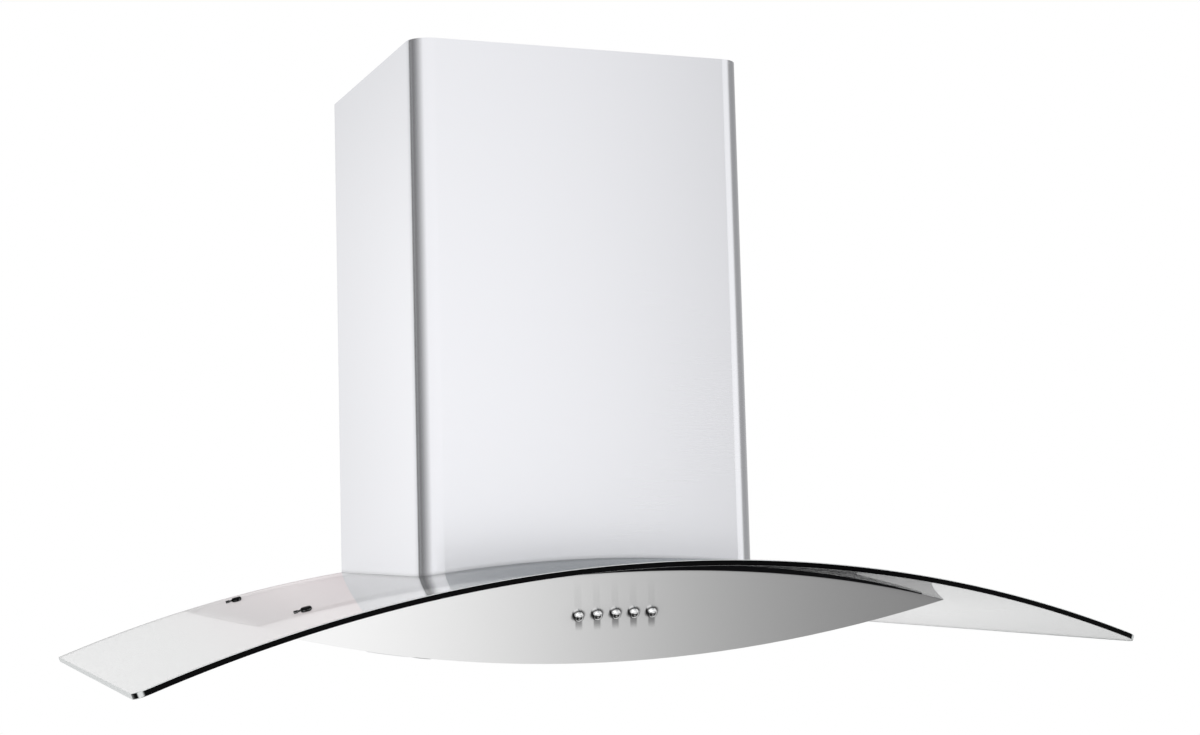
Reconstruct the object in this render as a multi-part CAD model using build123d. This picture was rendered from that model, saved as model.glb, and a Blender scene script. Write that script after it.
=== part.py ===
from build123d import *
import os
from math import asin, cos, degrees, pi, radians, sin, sqrt, tan

# Curved glass wall hood, in millimetres. X is the width, the wall is the plane y = 0, the room
# is at -Y, and z = 0 is the crown of the glass. A depth is a distance from the wall.

# Sheet work
SHEET = 1.0              # stainless sheet of the body, housing and chimney
FIT = 0.1                # gap between two sheets that lie on each other
FLANGE = 14.0            # width of the wall plate's flanges
FASCIA_FLANGE = 10.0     # width of the fascia's return flanges
SLIDE_GAP = 0.5          # gap between the two chimney sections
RUN_GAP = 0.05           # running clearance on the radius of a shaft or pin
MOVE_GAP = 0.3           # gap between pieces that move past each other

# Glass
GLASS_W = 900.0
GLASS_D = 500.0          # wall to front edge
GLASS_T = 5.0
GLASS_R = 1250.0         # radius of the upper surface
GLASS_CORNER_R = 14.0    # front corners, in plan
GLASS_WALL_GAP = 2.0
GLASS_CUT_GAP = 3.0      # cut-out to the housing
FIXING_X = 285.0
FIXING_REAR_DEPTH = 50.0
FIXING_FLANGE_GAP = 5.0  # washer of a front fixing to the fascia's flange
FIXING_HOLE_R = 5.0
FIXING_BORE_R = 3.0      # bore of the rubber bush
FIXING_WASHER_R = 8.0
CAP_T = 0.8              # black washer on top of the glass
CAP_NIB_X = 9.0          # washer's centre to its locating nib
CAP_NIB_R = 1.9
CAP_NIB_H = 1.2
CAP_TAIL_W = 1.6
FIXING_HEAD_R = 4.6
FIXING_HEAD_H = 1.3
FIXING_HEAD_ROUND = 0.8
FIXING_SHANK_R = 2.8
NUT_R = 5.0
NUT_H = 4.0

# Body under the glass
BODY_W = 655.0           # tip to tip of the fascia
BODY_DROP = 93.0         # glass crown to the lowest line of the body
TIP_SETBACK = 134.0      # glass front edge to the tips of the fascia
FASCIA_LEAN = 40.0       # degrees from upright, lower edge towards the wall
SEAL_T = 3.0             # rubber seal at its thickest, on the centre line
SEAL_END_T = 0.6         # seal where it stops
SEAL_W = 9.0
TIP_GAP = 0.1
SIDE_INSET = 10.0        # fascia tip to the side of the closed body
BACK_T = 1.5             # wall plate
TONGUE_W = 250.0         # part of the wall plate behind the housing
WALL_HOLE_R = 4.0
WALL_HOLE_PITCH_X = 220.0
WALL_HOLE_LOW_DROP = 45.0
WALL_HOLE_RISE = 24.0    # housing top to the upper holes
TONGUE_MARGIN = 18.0     # upper holes to the top of the wall plate
TONGUE_CORNER_R = 10.0
BACK_FLANGE_GAP = 2.0    # ends of the top flange to the housing's foot

# Filters, each flat and lying along a chord of the curved pan
FILTER_W = 250.0
FILTER_T = 8.0
FILTER_RIM = 11.0
FILTER_CORNER_R = 3.0
FILTER_GAP = 1.0         # filter to the walls of its well
FILTER_REAR_DEPTH = 36.0  # wall to the rear of the well
BRIDGE_W = 16.0          # strip of the pan between the filters
LEDGE_W = 8.0
MESH_T = 4.0
MESH_COLS = 9
MESH_ROWS = 7
MESH_BAR = 3.0
TAB_W = 22.0
TAB_T = 1.2
TAB_REACH = 4.0          # tab behind the wall of the well
TAB_X = 85.0
FILTER_OPEN = 60.0       # degrees

# Filter latch
LATCH_W = 44.0
LATCH_L = 15.0
LATCH_T = 2.4
LATCH_TRAVEL = 6.0
LATCH_WALL = 3.0         # walls of the latch pocket
LATCH_LIP = 3.0          # lips that hold the slide in its pocket
LATCH_LIP_T = 2.0
TONGUE_BOLT_W = 24.0
TONGUE_BOLT_REACH = 4.0  # bolt past the wall of the well
GRIP_T = 2.4
GRIP_DROP = 6.0
GRIP_CORNER_R = 3.0

# Lamps
LAMP_X = 190.0
LAMP_EDGE_GAP = 2.0      # bezel to the fascia's flange
LAMP_WELL_GAP = 10.0     # bezel to the filter's well
LAMP_FLANGE_R = 30.0
LAMP_FLANGE_T = 2.0
LAMP_WINDOW_R = 22.0
LAMP_NECK_R = 27.0
LAMP_NECK_WALL = 1.4
LAMP_NECK_H = 14.0
LAMP_LENS_T = 2.0
LAMP_MODULE_H = 20.0
LAMP_FLANGE_BEVEL = 1.2
LAMP_FIN_PITCH = 8.0
LAMP_FIN_GAP = 4.0
LAMP_FIN_H = 6.0
LAMP_FIN_GAPS = 5

# Push buttons on the fascia
BUTTON_COUNT = 5
BUTTON_PITCH = 17.5
BUTTON_BANK_X = -12.0    # centre of the row
BUTTON_R = 4.8
BUTTON_PROUD = 5.0
BUTTON_DOME = 2.6        # rise of the domed end
BUTTON_DROP = 42.0       # glass underside down to the row
BUTTON_TRAVEL = 3.0
BUTTON_COLLAR_R = 6.4
BUTTON_COLLAR_T = 1.2
BUTTON_STEM_R = 3.0
BUTTON_STEM_L = 14.0
BANK_MARGIN = 12.0
BANK_H = 26.0
BANK_D = 24.0
BANK_CORNER_R = 2.0
BANK_FOOT_T = 2.0
BANK_POST_R = 3.5
BANK_POST_INSET = 5.0    # end of the foot to the middle of its post

# Blower: a double-inlet wheel in a four-centre volute that blows upwards
WHEEL_R = 72.0
WHEEL_INNER_R = 59.0
WHEEL_W = 118.0
WHEEL_RING_W = 2.5
BLADE_COUNT = 30
BLADE_T = 1.2
BLADE_INSET = 0.5        # ends of a blade to the edges of the rings
BLADE_SWEEP = 0.55       # how far the outer edge leads, as a share of the blade's width
HUB_R = 12.0
HUB_W = 20.0
WEB_T = 2.0
SHAFT_R = 4.0
SHAFT_END = 2.0          # shaft beyond the hub, and short of the bore's end
VOLUTE_R = 86.0          # radius of the arc over the back of the wheel
VOLUTE_STEP = 11.0       # each arc's radius over the one before
VOLUTE_WALL = 2.0
VOLUTE_SIDE_GAP = 3.0    # wheel to the inner side walls
VOLUTE_REAR_GAP = 8.0    # volute to the housing's rear wall
VOLUTE_TONGUE = 40.0     # degrees above level where the volute starts
VOLUTE_MOUTH_BACK = 38.0  # wheel axis to the rear wall of the mouth
INLET_R = 61.0
INLET_LIP_GAP = 1.0      # lip of the inlet to the wheel
INLET_RIM = 3.0          # flat rim round the inlet
MOUTH_FLANGE = 10.0
AXIS_Z = 112.0
AXIS_TO_TOP = 125.0      # wheel axis to the underside of the housing's top
MOTOR_R = 42.0
MOTOR_L = 78.0
MOTOR_START = 12.0       # web of the wheel to the motor's face
MOTOR_BORE_L = 30.0
MOTOR_BOSS_R = 19.0
MOTOR_BOSS_H = 5.0
MOTOR_GROOVE_X = 13.0    # motor's middle to each groove
MOTOR_GROOVE_W = 1.5
MOTOR_GROOVE_D = 1.0
BRACKET_T = 1.5
BRACKET_RING = 7.0
BRACKET_ARM_W = 14.0
BRACKET_REACH_R = 76.0
BUSH_R = 6.5
BUSH_H = 5.0
BUSH_SCREW_R = 2.0
BUSH_SCREW_HEAD_R = 4.0
BUSH_SCREW_HEAD_H = 2.5

# Housing
HOUSING_W = 280.0
HOUSING_D = 266.0        # wall to its front
HOUSING_FLANGE = 15.0
HOUSING_MOUTH_MARGIN = 22.0
HOUSING_MOUTH_R = 8.0
HOUSING_CORNER_R = 4.0

HOUSING_SCREW_R = 1.5
HOUSING_SCREW_HEAD_R = 3.2
HOUSING_SCREW_HEAD_H = 1.5
HOUSING_SCREW_DEPTHS = (45.0, 135.0, 225.0)

# Outlet collar with two damper flaps
COLLAR_R = 75.0          # outer radius, for 150 mm duct
COLLAR_WALL = 2.0
COLLAR_H = 52.0
COLLAR_FLANGE_R = 83.0
COLLAR_FLANGE_T = 2.5
DAMPER_Z = 16.0          # housing top to the damper pin
DAMPER_T = 1.0
DAMPER_RIM_GAP = 0.8
DAMPER_STOP_W = 3.5
DAMPER_PIN_R = 2.0
DAMPER_KNUCKLE_R = 3.6
DAMPER_KNUCKLES = 6
DAMPER_BOSS_WALL = 1.0

# Electrical parts on the housing
TERMINAL_BOX = (84.0, 56.0, 34.0)
TERMINAL_AT = (-46.0, 46.0)
TERMINAL_WALL = 2.0
TERMINAL_CORNER_R = 3.0
TERMINAL_BLOCK = (42.0, 12.0, 12.0)
TERMINAL_LID_T = 2.0
GLAND_R = 9.0
GLAND_NUT_H = 6.0
GLAND_THREAD_R = 6.8
GLAND_BORE_R = 4.0
GLAND_L = 14.0
CAPACITOR_R = 16.0
CAPACITOR_H = 58.0
CAPACITOR_ROUND = 3.0
CRIMP_DROP = 9.0
CRIMP_W = 2.0
CRIMP_D = 1.0
CAPACITOR_STUD_R = 4.0
CAPACITOR_STUD_H = 3.0
CAPACITOR_AT = (70.0, 40.0)

# Chimney
CHIMNEY_W = 334.0
CHIMNEY_D = 295.0
CHIMNEY_TOP = 480.0
CHIMNEY_BEND_R = 21.0
CHIMNEY_REAR_BEND_R = 5.0
CHIMNEY_RETURN = 15.0
UPPER_TOP_DROP = 6.0     # top of the inner section below the outer's
UPPER_FOOT = 24.0        # foot of the inner section above the glass crown
SLOT_COUNT = 7
SLOT_L = 60.0
SLOT_H = 4.0
SLOT_PITCH = 12.0
SLOT_TOP = 60.0
BRACKET_H = 30.0
BRACKET_STRIP_T = 1.5
BRACKET_DROP = 8.0
BRACKET_EAR = 28.0
BRACKET_RETURN_GAP = 4.0  # bracket to the chimney's return flanges
BRACKET_STEP = 12.0      # return flange's width to the bracket's step
BRACKET_HOLE_R = 3.5
BRACKET_HOLE_PITCH = 200.0


def arc_drop(radius, x):
    """How far an arc of this radius falls from its crown at the distance x."""
    return radius - sqrt(radius * radius - x * x)


def arc_radius(half_chord, rise):
    """Radius of the arc that rises so far over half a chord."""
    return (half_chord * half_chord + rise * rise) / (2 * rise)


def across(sketch, depth_from, depth_to):
    """A drawing in the X-Z plane, carried from one depth to another."""
    return extrude(Plane.XZ.offset(depth_from) * sketch, amount=depth_to - depth_from)


def upright(sketch, z_from, z_to):
    """A drawing in the X-Y plane, carried from one height to another."""
    return extrude(Pos(0, 0, z_from) * sketch, amount=z_to - z_from)


def rod(radius, x_from, x_to):
    """A round bar along X."""
    return extrude(Plane.YZ.offset(x_from) * Circle(radius), amount=x_to - x_from)


def ring(outer, inner, height):
    """A flat ring or tube that stands on z = 0."""
    return extrude(Circle(outer) - Circle(inner), amount=height)


def mirrored(shape):
    """The left-hand twin of a right-hand piece."""
    return mirror(shape, about=Plane.YZ)


# Shapes that everything shares: two arcs enclose the lens-shaped body
half_body = BODY_W / 2
glass_under_r = GLASS_R - GLASS_T
tip_z = -GLASS_T - arc_drop(glass_under_r, half_body) - TIP_GAP
crown_z = -GLASS_T - SEAL_T
top_r = arc_radius(half_body, crown_z - tip_z)
top_centre_z = crown_z - top_r
low_r = arc_radius(half_body, tip_z + BODY_DROP)
low_centre_z = low_r - BODY_DROP
tip_depth = GLASS_D - TIP_SETBACK
lean = radians(FASCIA_LEAN)
fascia_plane = Plane(
    origin=(0, -tip_depth, tip_z),
    x_dir=(1, 0, 0),
    z_dir=(0, -cos(lean), -sin(lean)),
)
crown_depth = tip_depth + tan(lean) * (crown_z - tip_z)
room = GLASS_W + GLASS_D


def top_disc(inset):
    """Everything below the body's upper arc, drawn in X-Z."""
    return Pos(0, top_centre_z) * Circle(top_r - inset)


def low_disc(inset):
    """Everything above the body's lower arc, drawn in X-Z."""
    return Pos(0, low_centre_z) * Circle(low_r - inset)


def lens(inset):
    """The body's outline, drawn in X-Z."""
    return top_disc(inset) & low_disc(inset)


def strip(half_width):
    """A tall strip on the centre line, drawn in X-Z."""
    return Rectangle(2 * half_width, room)


def behind_fascia(near, far):
    """A slab parallel to the fascia, between two distances behind its face."""
    return extrude(fascia_plane.offset(-far) * Rectangle(room, room), amount=far - near)


def flange_rear_depth(z):
    """Depth, at this height, of the rear edge of the fascia's return flanges."""
    return tip_depth + tan(lean) * (z - tip_z) - FASCIA_FLANGE / cos(lean)


def glass_prism(extra):
    """Everything below the glass's upper surface raised by extra, the whole depth."""
    disc = Pos(0, -GLASS_R) * Circle(GLASS_R + extra)
    return across(disc, -GLASS_D, 2 * GLASS_D)


def glass_place(x, depth):
    """A place on the glass's upper surface, with local z square to the glass."""
    turn = degrees(asin(x / GLASS_R))
    return Pos(0, -depth, -GLASS_R) * Rot(0, turn, 0) * Pos(0, 0, GLASS_R)


fixing_z = crown_z - arc_drop(top_r, FIXING_X)
front_fixing_depth = flange_rear_depth(fixing_z) - FIXING_FLANGE_GAP - FIXING_WASHER_R
fixing_depths = (FIXING_REAR_DEPTH, front_fixing_depth)
fixing_places = [glass_place(side * FIXING_X, depth) for depth in fixing_depths for side in (-1, 1)]
fixing_gap = (
    arc_drop(top_r, FIXING_X)
    - crown_z
    - GLASS_T
    - arc_drop(glass_under_r, FIXING_X)
    + SHEET
    + FIT
)


def make_glass_canopy():
    """Bent glass: a band of the big cylinder, cut to its plan outline."""
    band = Pos(0, -GLASS_R) * (Circle(GLASS_R) - Circle(glass_under_r))
    depth = GLASS_D - GLASS_WALL_GAP
    centre = -(GLASS_D + GLASS_WALL_GAP) / 2
    outline = Pos(0, centre) * Rectangle(GLASS_W, depth)
    front = outline.vertices().group_by(Axis.Y)[0]
    outline = fillet(front, GLASS_CORNER_R)
    cut_depth = HOUSING_D + GLASS_CUT_GAP
    cut = Pos(0, -cut_depth / 2) * Rectangle(HOUSING_W + 2 * GLASS_CUT_GAP, cut_depth)
    low = -arc_drop(GLASS_R, GLASS_W / 2) - 2 * GLASS_T
    solid = upright(outline - cut, low, GLASS_T) & across(band, 0, GLASS_D)
    for place in fixing_places:
        solid -= place * Pos(0, 0, -2 * GLASS_T) * Cylinder(FIXING_HOLE_R, 6 * GLASS_T)
    return solid


def make_glass_seal():
    """Rubber strip on the fascia's top flange, thickest on the centre line."""
    end_x = half_body * sqrt(1 - SEAL_END_T / SEAL_T)
    under = Pos(0, -GLASS_R) * Circle(glass_under_r)
    crescent = (under - top_disc(0)) & (Pos(0, crown_z) * Rectangle(2 * end_x, GLASS_W / 4))
    return across(crescent, 0, GLASS_D) & behind_fascia(SHEET, SHEET + SEAL_W)


def make_glass_bush():
    """Rubber bush: a sleeve in the glass and a washer under it."""
    sleeve = ring(FIXING_HOLE_R - FIT, FIXING_BORE_R, GLASS_T)
    washer = ring(FIXING_WASHER_R, FIXING_BORE_R, fixing_gap - 2 * FIT)
    return Pos(0, 0, -GLASS_T - FIT) * sleeve + Pos(0, 0, -GLASS_T - fixing_gap + FIT) * washer


def make_glass_cap(side):
    """Black washer with a locating nib on its outboard side."""
    nib_x = side * CAP_NIB_X
    nib = Pos(nib_x, 0) * Circle(CAP_NIB_R)
    tail = Pos(nib_x / 2, 0) * Rectangle(CAP_NIB_X, CAP_TAIL_W)
    plate = extrude(Circle(FIXING_HOLE_R) + tail, amount=CAP_T) - Cylinder(FIXING_BORE_R, 4 * CAP_T)
    return plate + extrude(nib, amount=CAP_NIB_H)


def make_glass_screw():
    """Domed screw through the bush into the nut."""
    shank_l = GLASS_T + fixing_gap + SHEET + NUT_H + CAP_T
    head = Pos(0, 0, CAP_T) * extrude(Circle(FIXING_HEAD_R), amount=FIXING_HEAD_H)
    head = chamfer(head.edges().group_by(Axis.Z)[-1], FIXING_HEAD_ROUND)
    shank = Pos(0, 0, -shank_l) * extrude(Circle(FIXING_SHANK_R), amount=shank_l + CAP_T)
    return head + shank


def make_glass_nut():
    """Hexagon nut under the top panel."""
    nut = extrude(RegularPolygon(NUT_R, 6) - Circle(FIXING_SHANK_R + RUN_GAP), amount=NUT_H)
    return Pos(0, 0, -GLASS_T - fixing_gap - SHEET - NUT_H - FIT) * nut


# Buttons: a row along the fascia that keeps its distance below the glass
def button_place(index):
    """A place on the fascia's face, with local z out of the face."""
    x = BUTTON_BANK_X + (index - (BUTTON_COUNT - 1) / 2) * BUTTON_PITCH
    z = -GLASS_T - arc_drop(glass_under_r, x) - BUTTON_DROP
    up = (z - tip_z) / cos(lean)
    return fascia_plane * Pos(x, up, 0)


bank_front = SHEET + BUTTON_COLLAR_T + BUTTON_TRAVEL + 2 * MOVE_GAP
button_back_z = -SHEET - MOVE_GAP - BUTTON_COLLAR_T
bank_bore_z = button_back_z - BUTTON_STEM_L - BUTTON_TRAVEL


def make_fascia_panel():
    """Lens-shaped plate with return flanges along both arcs and a hole for each button."""
    depth_to = crown_depth + FASCIA_FLANGE
    plate = across(lens(0), 0, depth_to) & behind_fascia(0, SHEET)
    flanges = across(lens(0) - lens(SHEET), 0, depth_to) & behind_fascia(SHEET, FASCIA_FLANGE)
    panel = plate + flanges
    for index in range(BUTTON_COUNT):
        panel -= button_place(index) * Cylinder(BUTTON_R + MOVE_GAP, 4 * SHEET)
    return panel


def make_button():
    """Cap with a faceted crown, a captive collar behind the fascia and a stem."""
    edge_z = BUTTON_PROUD - BUTTON_DOME
    back_z = button_back_z
    stem_z = back_z - BUTTON_STEM_L
    outline = Polyline(
        (0, stem_z),
        (BUTTON_STEM_R, stem_z),
        (BUTTON_STEM_R, back_z),
        (BUTTON_COLLAR_R, back_z),
        (BUTTON_COLLAR_R, back_z + BUTTON_COLLAR_T),
        (BUTTON_R, back_z + BUTTON_COLLAR_T),
        (BUTTON_R, edge_z),
    )
    dome_r = arc_radius(BUTTON_R, BUTTON_DOME)
    half = BUTTON_R / 2
    crown = Polyline(
        (BUTTON_R, edge_z),
        (half, BUTTON_PROUD - arc_drop(dome_r, half)),
        (0, BUTTON_PROUD),
        (0, stem_z),
    )
    face = make_face(Plane.XZ * (outline + crown))
    return revolve(face, Axis.Z)


def make_switch_bank():
    """Closed switch body behind the fascia, with one guide bore for each stem."""
    length = (BUTTON_COUNT - 1) * BUTTON_PITCH + 2 * BANK_MARGIN
    middle = button_place((BUTTON_COUNT - 1) / 2)
    foot_l = length + 2 * BANK_MARGIN
    body = extrude(RectangleRounded(length, BANK_H, BANK_CORNER_R), amount=-BANK_D)
    body += extrude(RectangleRounded(foot_l, BANK_H / 2, BANK_CORNER_R), amount=-BANK_FOOT_T)
    post = extrude(Circle(BANK_POST_R), amount=bank_front - SHEET)
    for side in (-1, 1):
        body += Pos(side * (foot_l / 2 - BANK_POST_INSET), 0, 0) * post
    bank = middle * Pos(0, 0, -bank_front) * body
    for index in range(BUTTON_COUNT):
        bore = extrude(Circle(BUTTON_STEM_R + RUN_GAP), amount=bank_bore_z - MOVE_GAP)
        bank -= button_place(index) * bore
    return bank


# Sheet metal body
panel_half = half_body - SIDE_INSET
panel_top_inset = SHEET + FIT
panel_low_inset = SHEET + FIT
pan_r = low_r - panel_low_inset
panel_rear = BACK_T + FIT
housing_top = AXIS_Z + AXIS_TO_TOP + SHEET
upper_hole_z = housing_top + WALL_HOLE_RISE
tongue_top = upper_hole_z + TONGUE_MARGIN


def make_back_plate():
    """Wall plate: the rear of the body, and a tongue that carries the housing."""
    tongue_h = tongue_top - tip_z
    tongue = Pos(0, tip_z + tongue_h / 2) * Rectangle(TONGUE_W, tongue_h)
    plate = across(lens(0) + tongue, 0, BACK_T)
    plate = fillet(plate.edges().filter_by(Axis.Y).group_by(Axis.Z)[-1], TONGUE_CORNER_R)
    flanges = across(lens(0) - lens(SHEET), BACK_T, FLANGE)
    foot_gap = Rectangle(HOUSING_W + 2 * HOUSING_FLANGE + 2 * BACK_FLANGE_GAP, BODY_DROP)
    plate += flanges - across(Pos(0, crown_z) * foot_gap, BACK_T, room)
    for x in (-WALL_HOLE_PITCH_X / 2, WALL_HOLE_PITCH_X / 2):
        for z in (upper_hole_z, -WALL_HOLE_LOW_DROP):
            plate -= across(Pos(x, z) * Circle(WALL_HOLE_R), -SHEET, 2 * BACK_T)
    return plate


def panel_place(x, depth):
    """A place on top of the housing's foot, with local z square to the top panel."""
    turn = degrees(asin(x / (top_r - FIT)))
    return Pos(0, -depth, top_centre_z) * Rot(0, turn, 0) * Pos(0, 0, top_r - FIT)


housing_screw_x = (HOUSING_W + HOUSING_FLANGE) / 2
housing_screw_places = [
    panel_place(side * housing_screw_x, depth) for depth in HOUSING_SCREW_DEPTHS for side in (-1, 1)
]


def make_housing_screw():
    """Pan-head screw through the housing's foot and the top panel."""
    head = extrude(Circle(HOUSING_SCREW_HEAD_R), amount=HOUSING_SCREW_HEAD_H)
    head = chamfer(head.edges().group_by(Axis.Z)[-1], HOUSING_SCREW_HEAD_H / 2)
    return Pos(0, 0, FIT / 2) * (head + extrude(Circle(HOUSING_SCREW_R), amount=-4 * SHEET))


def make_top_panel():
    """Curved sheet under the glass, open below the housing."""
    band = top_disc(panel_top_inset) - top_disc(panel_top_inset + SHEET)
    sheet = across(band & strip(panel_half), panel_rear, crown_depth)
    sheet &= behind_fascia(SHEET + FIT, room)
    mouth_w = HOUSING_W - 2 * HOUSING_MOUTH_MARGIN
    mouth_d = HOUSING_D - panel_rear - 2 * HOUSING_MOUTH_MARGIN
    mouth_depth = panel_rear + HOUSING_MOUTH_MARGIN + mouth_d / 2
    mouth = Pos(0, -mouth_depth) * RectangleRounded(mouth_w, mouth_d, HOUSING_MOUTH_R)
    sheet -= upright(mouth, tip_z, 0)
    for place in fixing_places:
        sheet -= place * Cylinder(FIXING_BORE_R, 6 * GLASS_T)
    for place in housing_screw_places:
        sheet -= place * Cylinder(HOUSING_SCREW_R + FIT, 8 * SHEET)
    return sheet


# The filters lie along chords of the pan: their frame is turned about the pan's centre line
lamp_z = low_centre_z - sqrt(low_r**2 - LAMP_X**2)
lamp_depth = flange_rear_depth(lamp_z) - LAMP_EDGE_GAP - LAMP_FLANGE_R
well_wall_gap = FILTER_GAP + SHEET
filter_l = lamp_depth - LAMP_FLANGE_R - LAMP_WELL_GAP - FILTER_REAR_DEPTH - 2 * well_wall_gap
well_w = FILTER_W + 2 * well_wall_gap
well_l = filter_l + 2 * well_wall_gap
chord_angle = 2 * asin(well_w / (2 * pan_r))
filter_tilt = asin(BRIDGE_W / 2 / pan_r) + chord_angle / 2
well_depth = FILTER_REAR_DEPTH + well_l / 2
filter_place = (
    Pos(0, -well_depth, low_centre_z)
    * Rot(0, -degrees(filter_tilt), 0)
    * Pos(0, 0, -pan_r * cos(chord_angle / 2))
)
chord_sag = arc_drop(pan_r, well_w / 2)
ledge_z = FILTER_T + MOVE_GAP
pocket_w = LATCH_W + 2 * MOVE_GAP
pocket_l = LATCH_L + LATCH_TRAVEL + 2 * MOVE_GAP
latch_z = LATCH_LIP_T
open_angle = radians(FILTER_OPEN)
tab_slot_top = (SHEET / 2 + TAB_T * sin(open_angle)) * tan(open_angle) + TAB_T * cos(open_angle) + MOVE_GAP
tab_slot_low = -SHEET / 2 * tan(open_angle) - MOVE_GAP


def lamp_place(side):
    """A place on the pan's outer surface, with local z into the body."""
    turn = degrees(asin(LAMP_X / pan_r))
    return Pos(0, -lamp_depth, low_centre_z) * Rot(0, -side * turn, 0) * Pos(0, 0, -pan_r)


def make_bottom_pan():
    """Curved lower sheet with side upstands, two filter openings and two lamp holes."""
    band = low_disc(panel_low_inset) - low_disc(panel_low_inset + SHEET)
    side_low = low_centre_z - sqrt(pan_r**2 - panel_half**2)
    side_top = top_centre_z + sqrt((top_r - panel_top_inset - SHEET - FIT) ** 2 - panel_half**2)
    upstand_z = (side_low + side_top) / 2
    upstand = Pos(panel_half - SHEET / 2, upstand_z) * Rectangle(SHEET, side_top - side_low)
    lower_half = Pos(0, low_centre_z - room / 2) * Rectangle(2 * panel_half, room)
    drawing = (band & lower_half) + upstand + mirror(upstand, about=Plane.YZ)
    pan = across(drawing, panel_rear, crown_depth) & behind_fascia(SHEET + FIT, room)
    hole = Box(well_w + 2 * FIT, well_l + 2 * FIT, 8 * chord_sag)
    pan -= filter_place * hole
    pan -= mirrored(filter_place * hole)
    for side in (-1, 1):
        pan -= lamp_place(side) * Cylinder(LAMP_NECK_R + FIT, 20 * SHEET)
    return pan


def make_filter_well():
    """Welded frame round one filter: walls down to the pan, and a ledge above the filter."""
    wall_h = 2 * chord_sag + ledge_z + SHEET
    wall_plan = Rectangle(well_w, well_l) - Rectangle(well_w - 2 * SHEET, well_l - 2 * SHEET)
    walls = Pos(0, 0, -2 * chord_sag) * extrude(wall_plan, amount=wall_h)
    ledge = Rectangle(well_w, well_l) - Rectangle(well_w - 2 * LEDGE_W, well_l - 2 * LEDGE_W)
    well = walls + Pos(0, 0, ledge_z) * extrude(ledge, amount=SHEET)
    bolt_slot = Box(TONGUE_BOLT_W + 2 * MOVE_GAP, 4 * SHEET, LATCH_T + 2 * MOVE_GAP)
    well -= Pos(0, -well_l / 2, latch_z + LATCH_T / 2) * bolt_slot
    for x in (-TAB_X, TAB_X):
        tab_slot = Box(TAB_W + 2 * MOVE_GAP, 4 * SHEET, tab_slot_top - tab_slot_low)
        well -= Pos(x, well_l / 2, (tab_slot_top + tab_slot_low) / 2) * tab_slot
    arc_side = across(low_disc(panel_low_inset), -GLASS_D, 2 * GLASS_D)
    return (filter_place * well) & arc_side


def filter_pocket():
    """Outer size and centre of the latch pocket in the filter's front bar."""
    outer_w = pocket_w + 2 * LATCH_WALL
    outer_l = pocket_l + 2 * LATCH_WALL
    return outer_w, outer_l, -filter_l / 2 + outer_l / 2


def make_filter_frame():
    """Aluminium rim with two rear tabs and a pocket for the latch."""
    inner = Rectangle(FILTER_W - 2 * FILTER_RIM, filter_l - 2 * FILTER_RIM)
    rim = extrude(RectangleRounded(FILTER_W, filter_l, FILTER_CORNER_R) - inner, amount=FILTER_T)
    outer_w, outer_l, centre = filter_pocket()
    rim += Pos(0, centre, 0) * extrude(Rectangle(outer_w, outer_l), amount=FILTER_T)
    pocket = extrude(Rectangle(pocket_w, pocket_l), amount=LATCH_T + 2 * MOVE_GAP)
    mouth = extrude(Rectangle(pocket_w - 2 * LATCH_LIP, pocket_l), amount=latch_z)
    rim -= Pos(0, centre, latch_z - MOVE_GAP) * pocket
    rim -= Pos(0, centre, 0) * mouth
    slot = Box(TONGUE_BOLT_W + 2 * MOVE_GAP, 4 * LATCH_WALL, LATCH_T + 2 * MOVE_GAP)
    rim -= Pos(0, -filter_l / 2, latch_z + LATCH_T / 2) * slot
    reach = FILTER_GAP + SHEET + TAB_REACH
    for x in (-TAB_X, TAB_X):
        tab = Box(TAB_W, reach + 1, TAB_T, align=(Align.CENTER, Align.MIN, Align.MIN))
        rim += Pos(x, filter_l / 2 - 1, 0) * tab
    return rim


def make_filter_mesh():
    """Expanded metal pack: a plate with rows of diamond openings, fitted round the pocket."""
    width = FILTER_W - 2 * FILTER_RIM - 2 * FIT
    length = filter_l - 2 * FILTER_RIM - 2 * FIT
    pitch_x = width / MESH_COLS
    pitch_y = length / MESH_ROWS
    half_x = pitch_x / 2 - MESH_BAR / 2
    half_y = pitch_y / 2 - MESH_BAR / 2
    outer_w, outer_l, centre = filter_pocket()
    plate = Rectangle(width, length)
    plate -= Pos(0, centre) * Rectangle(outer_w + 2 * FIT, outer_l + 2 * FIT)
    diamonds = []
    for row in range(MESH_ROWS):
        y = (row - (MESH_ROWS - 1) / 2) * pitch_y
        for column in range(MESH_COLS):
            x = (column - (MESH_COLS - 1) / 2) * pitch_x
            beside = abs(x) > outer_w / 2 + pitch_x / 2
            beyond = y - half_y > centre + outer_l / 2 + MESH_BAR
            if not (beside or beyond):
                continue
            corners = [(half_x, 0), (0, half_y), (-half_x, 0), (0, -half_y)]
            diamonds.append(Pos(x, y) * make_face(Polyline(*corners, close=True)))
    plate -= diamonds
    return Pos(0, 0, (FILTER_T - MESH_T) / 2) * extrude(plate, amount=MESH_T)


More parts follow.
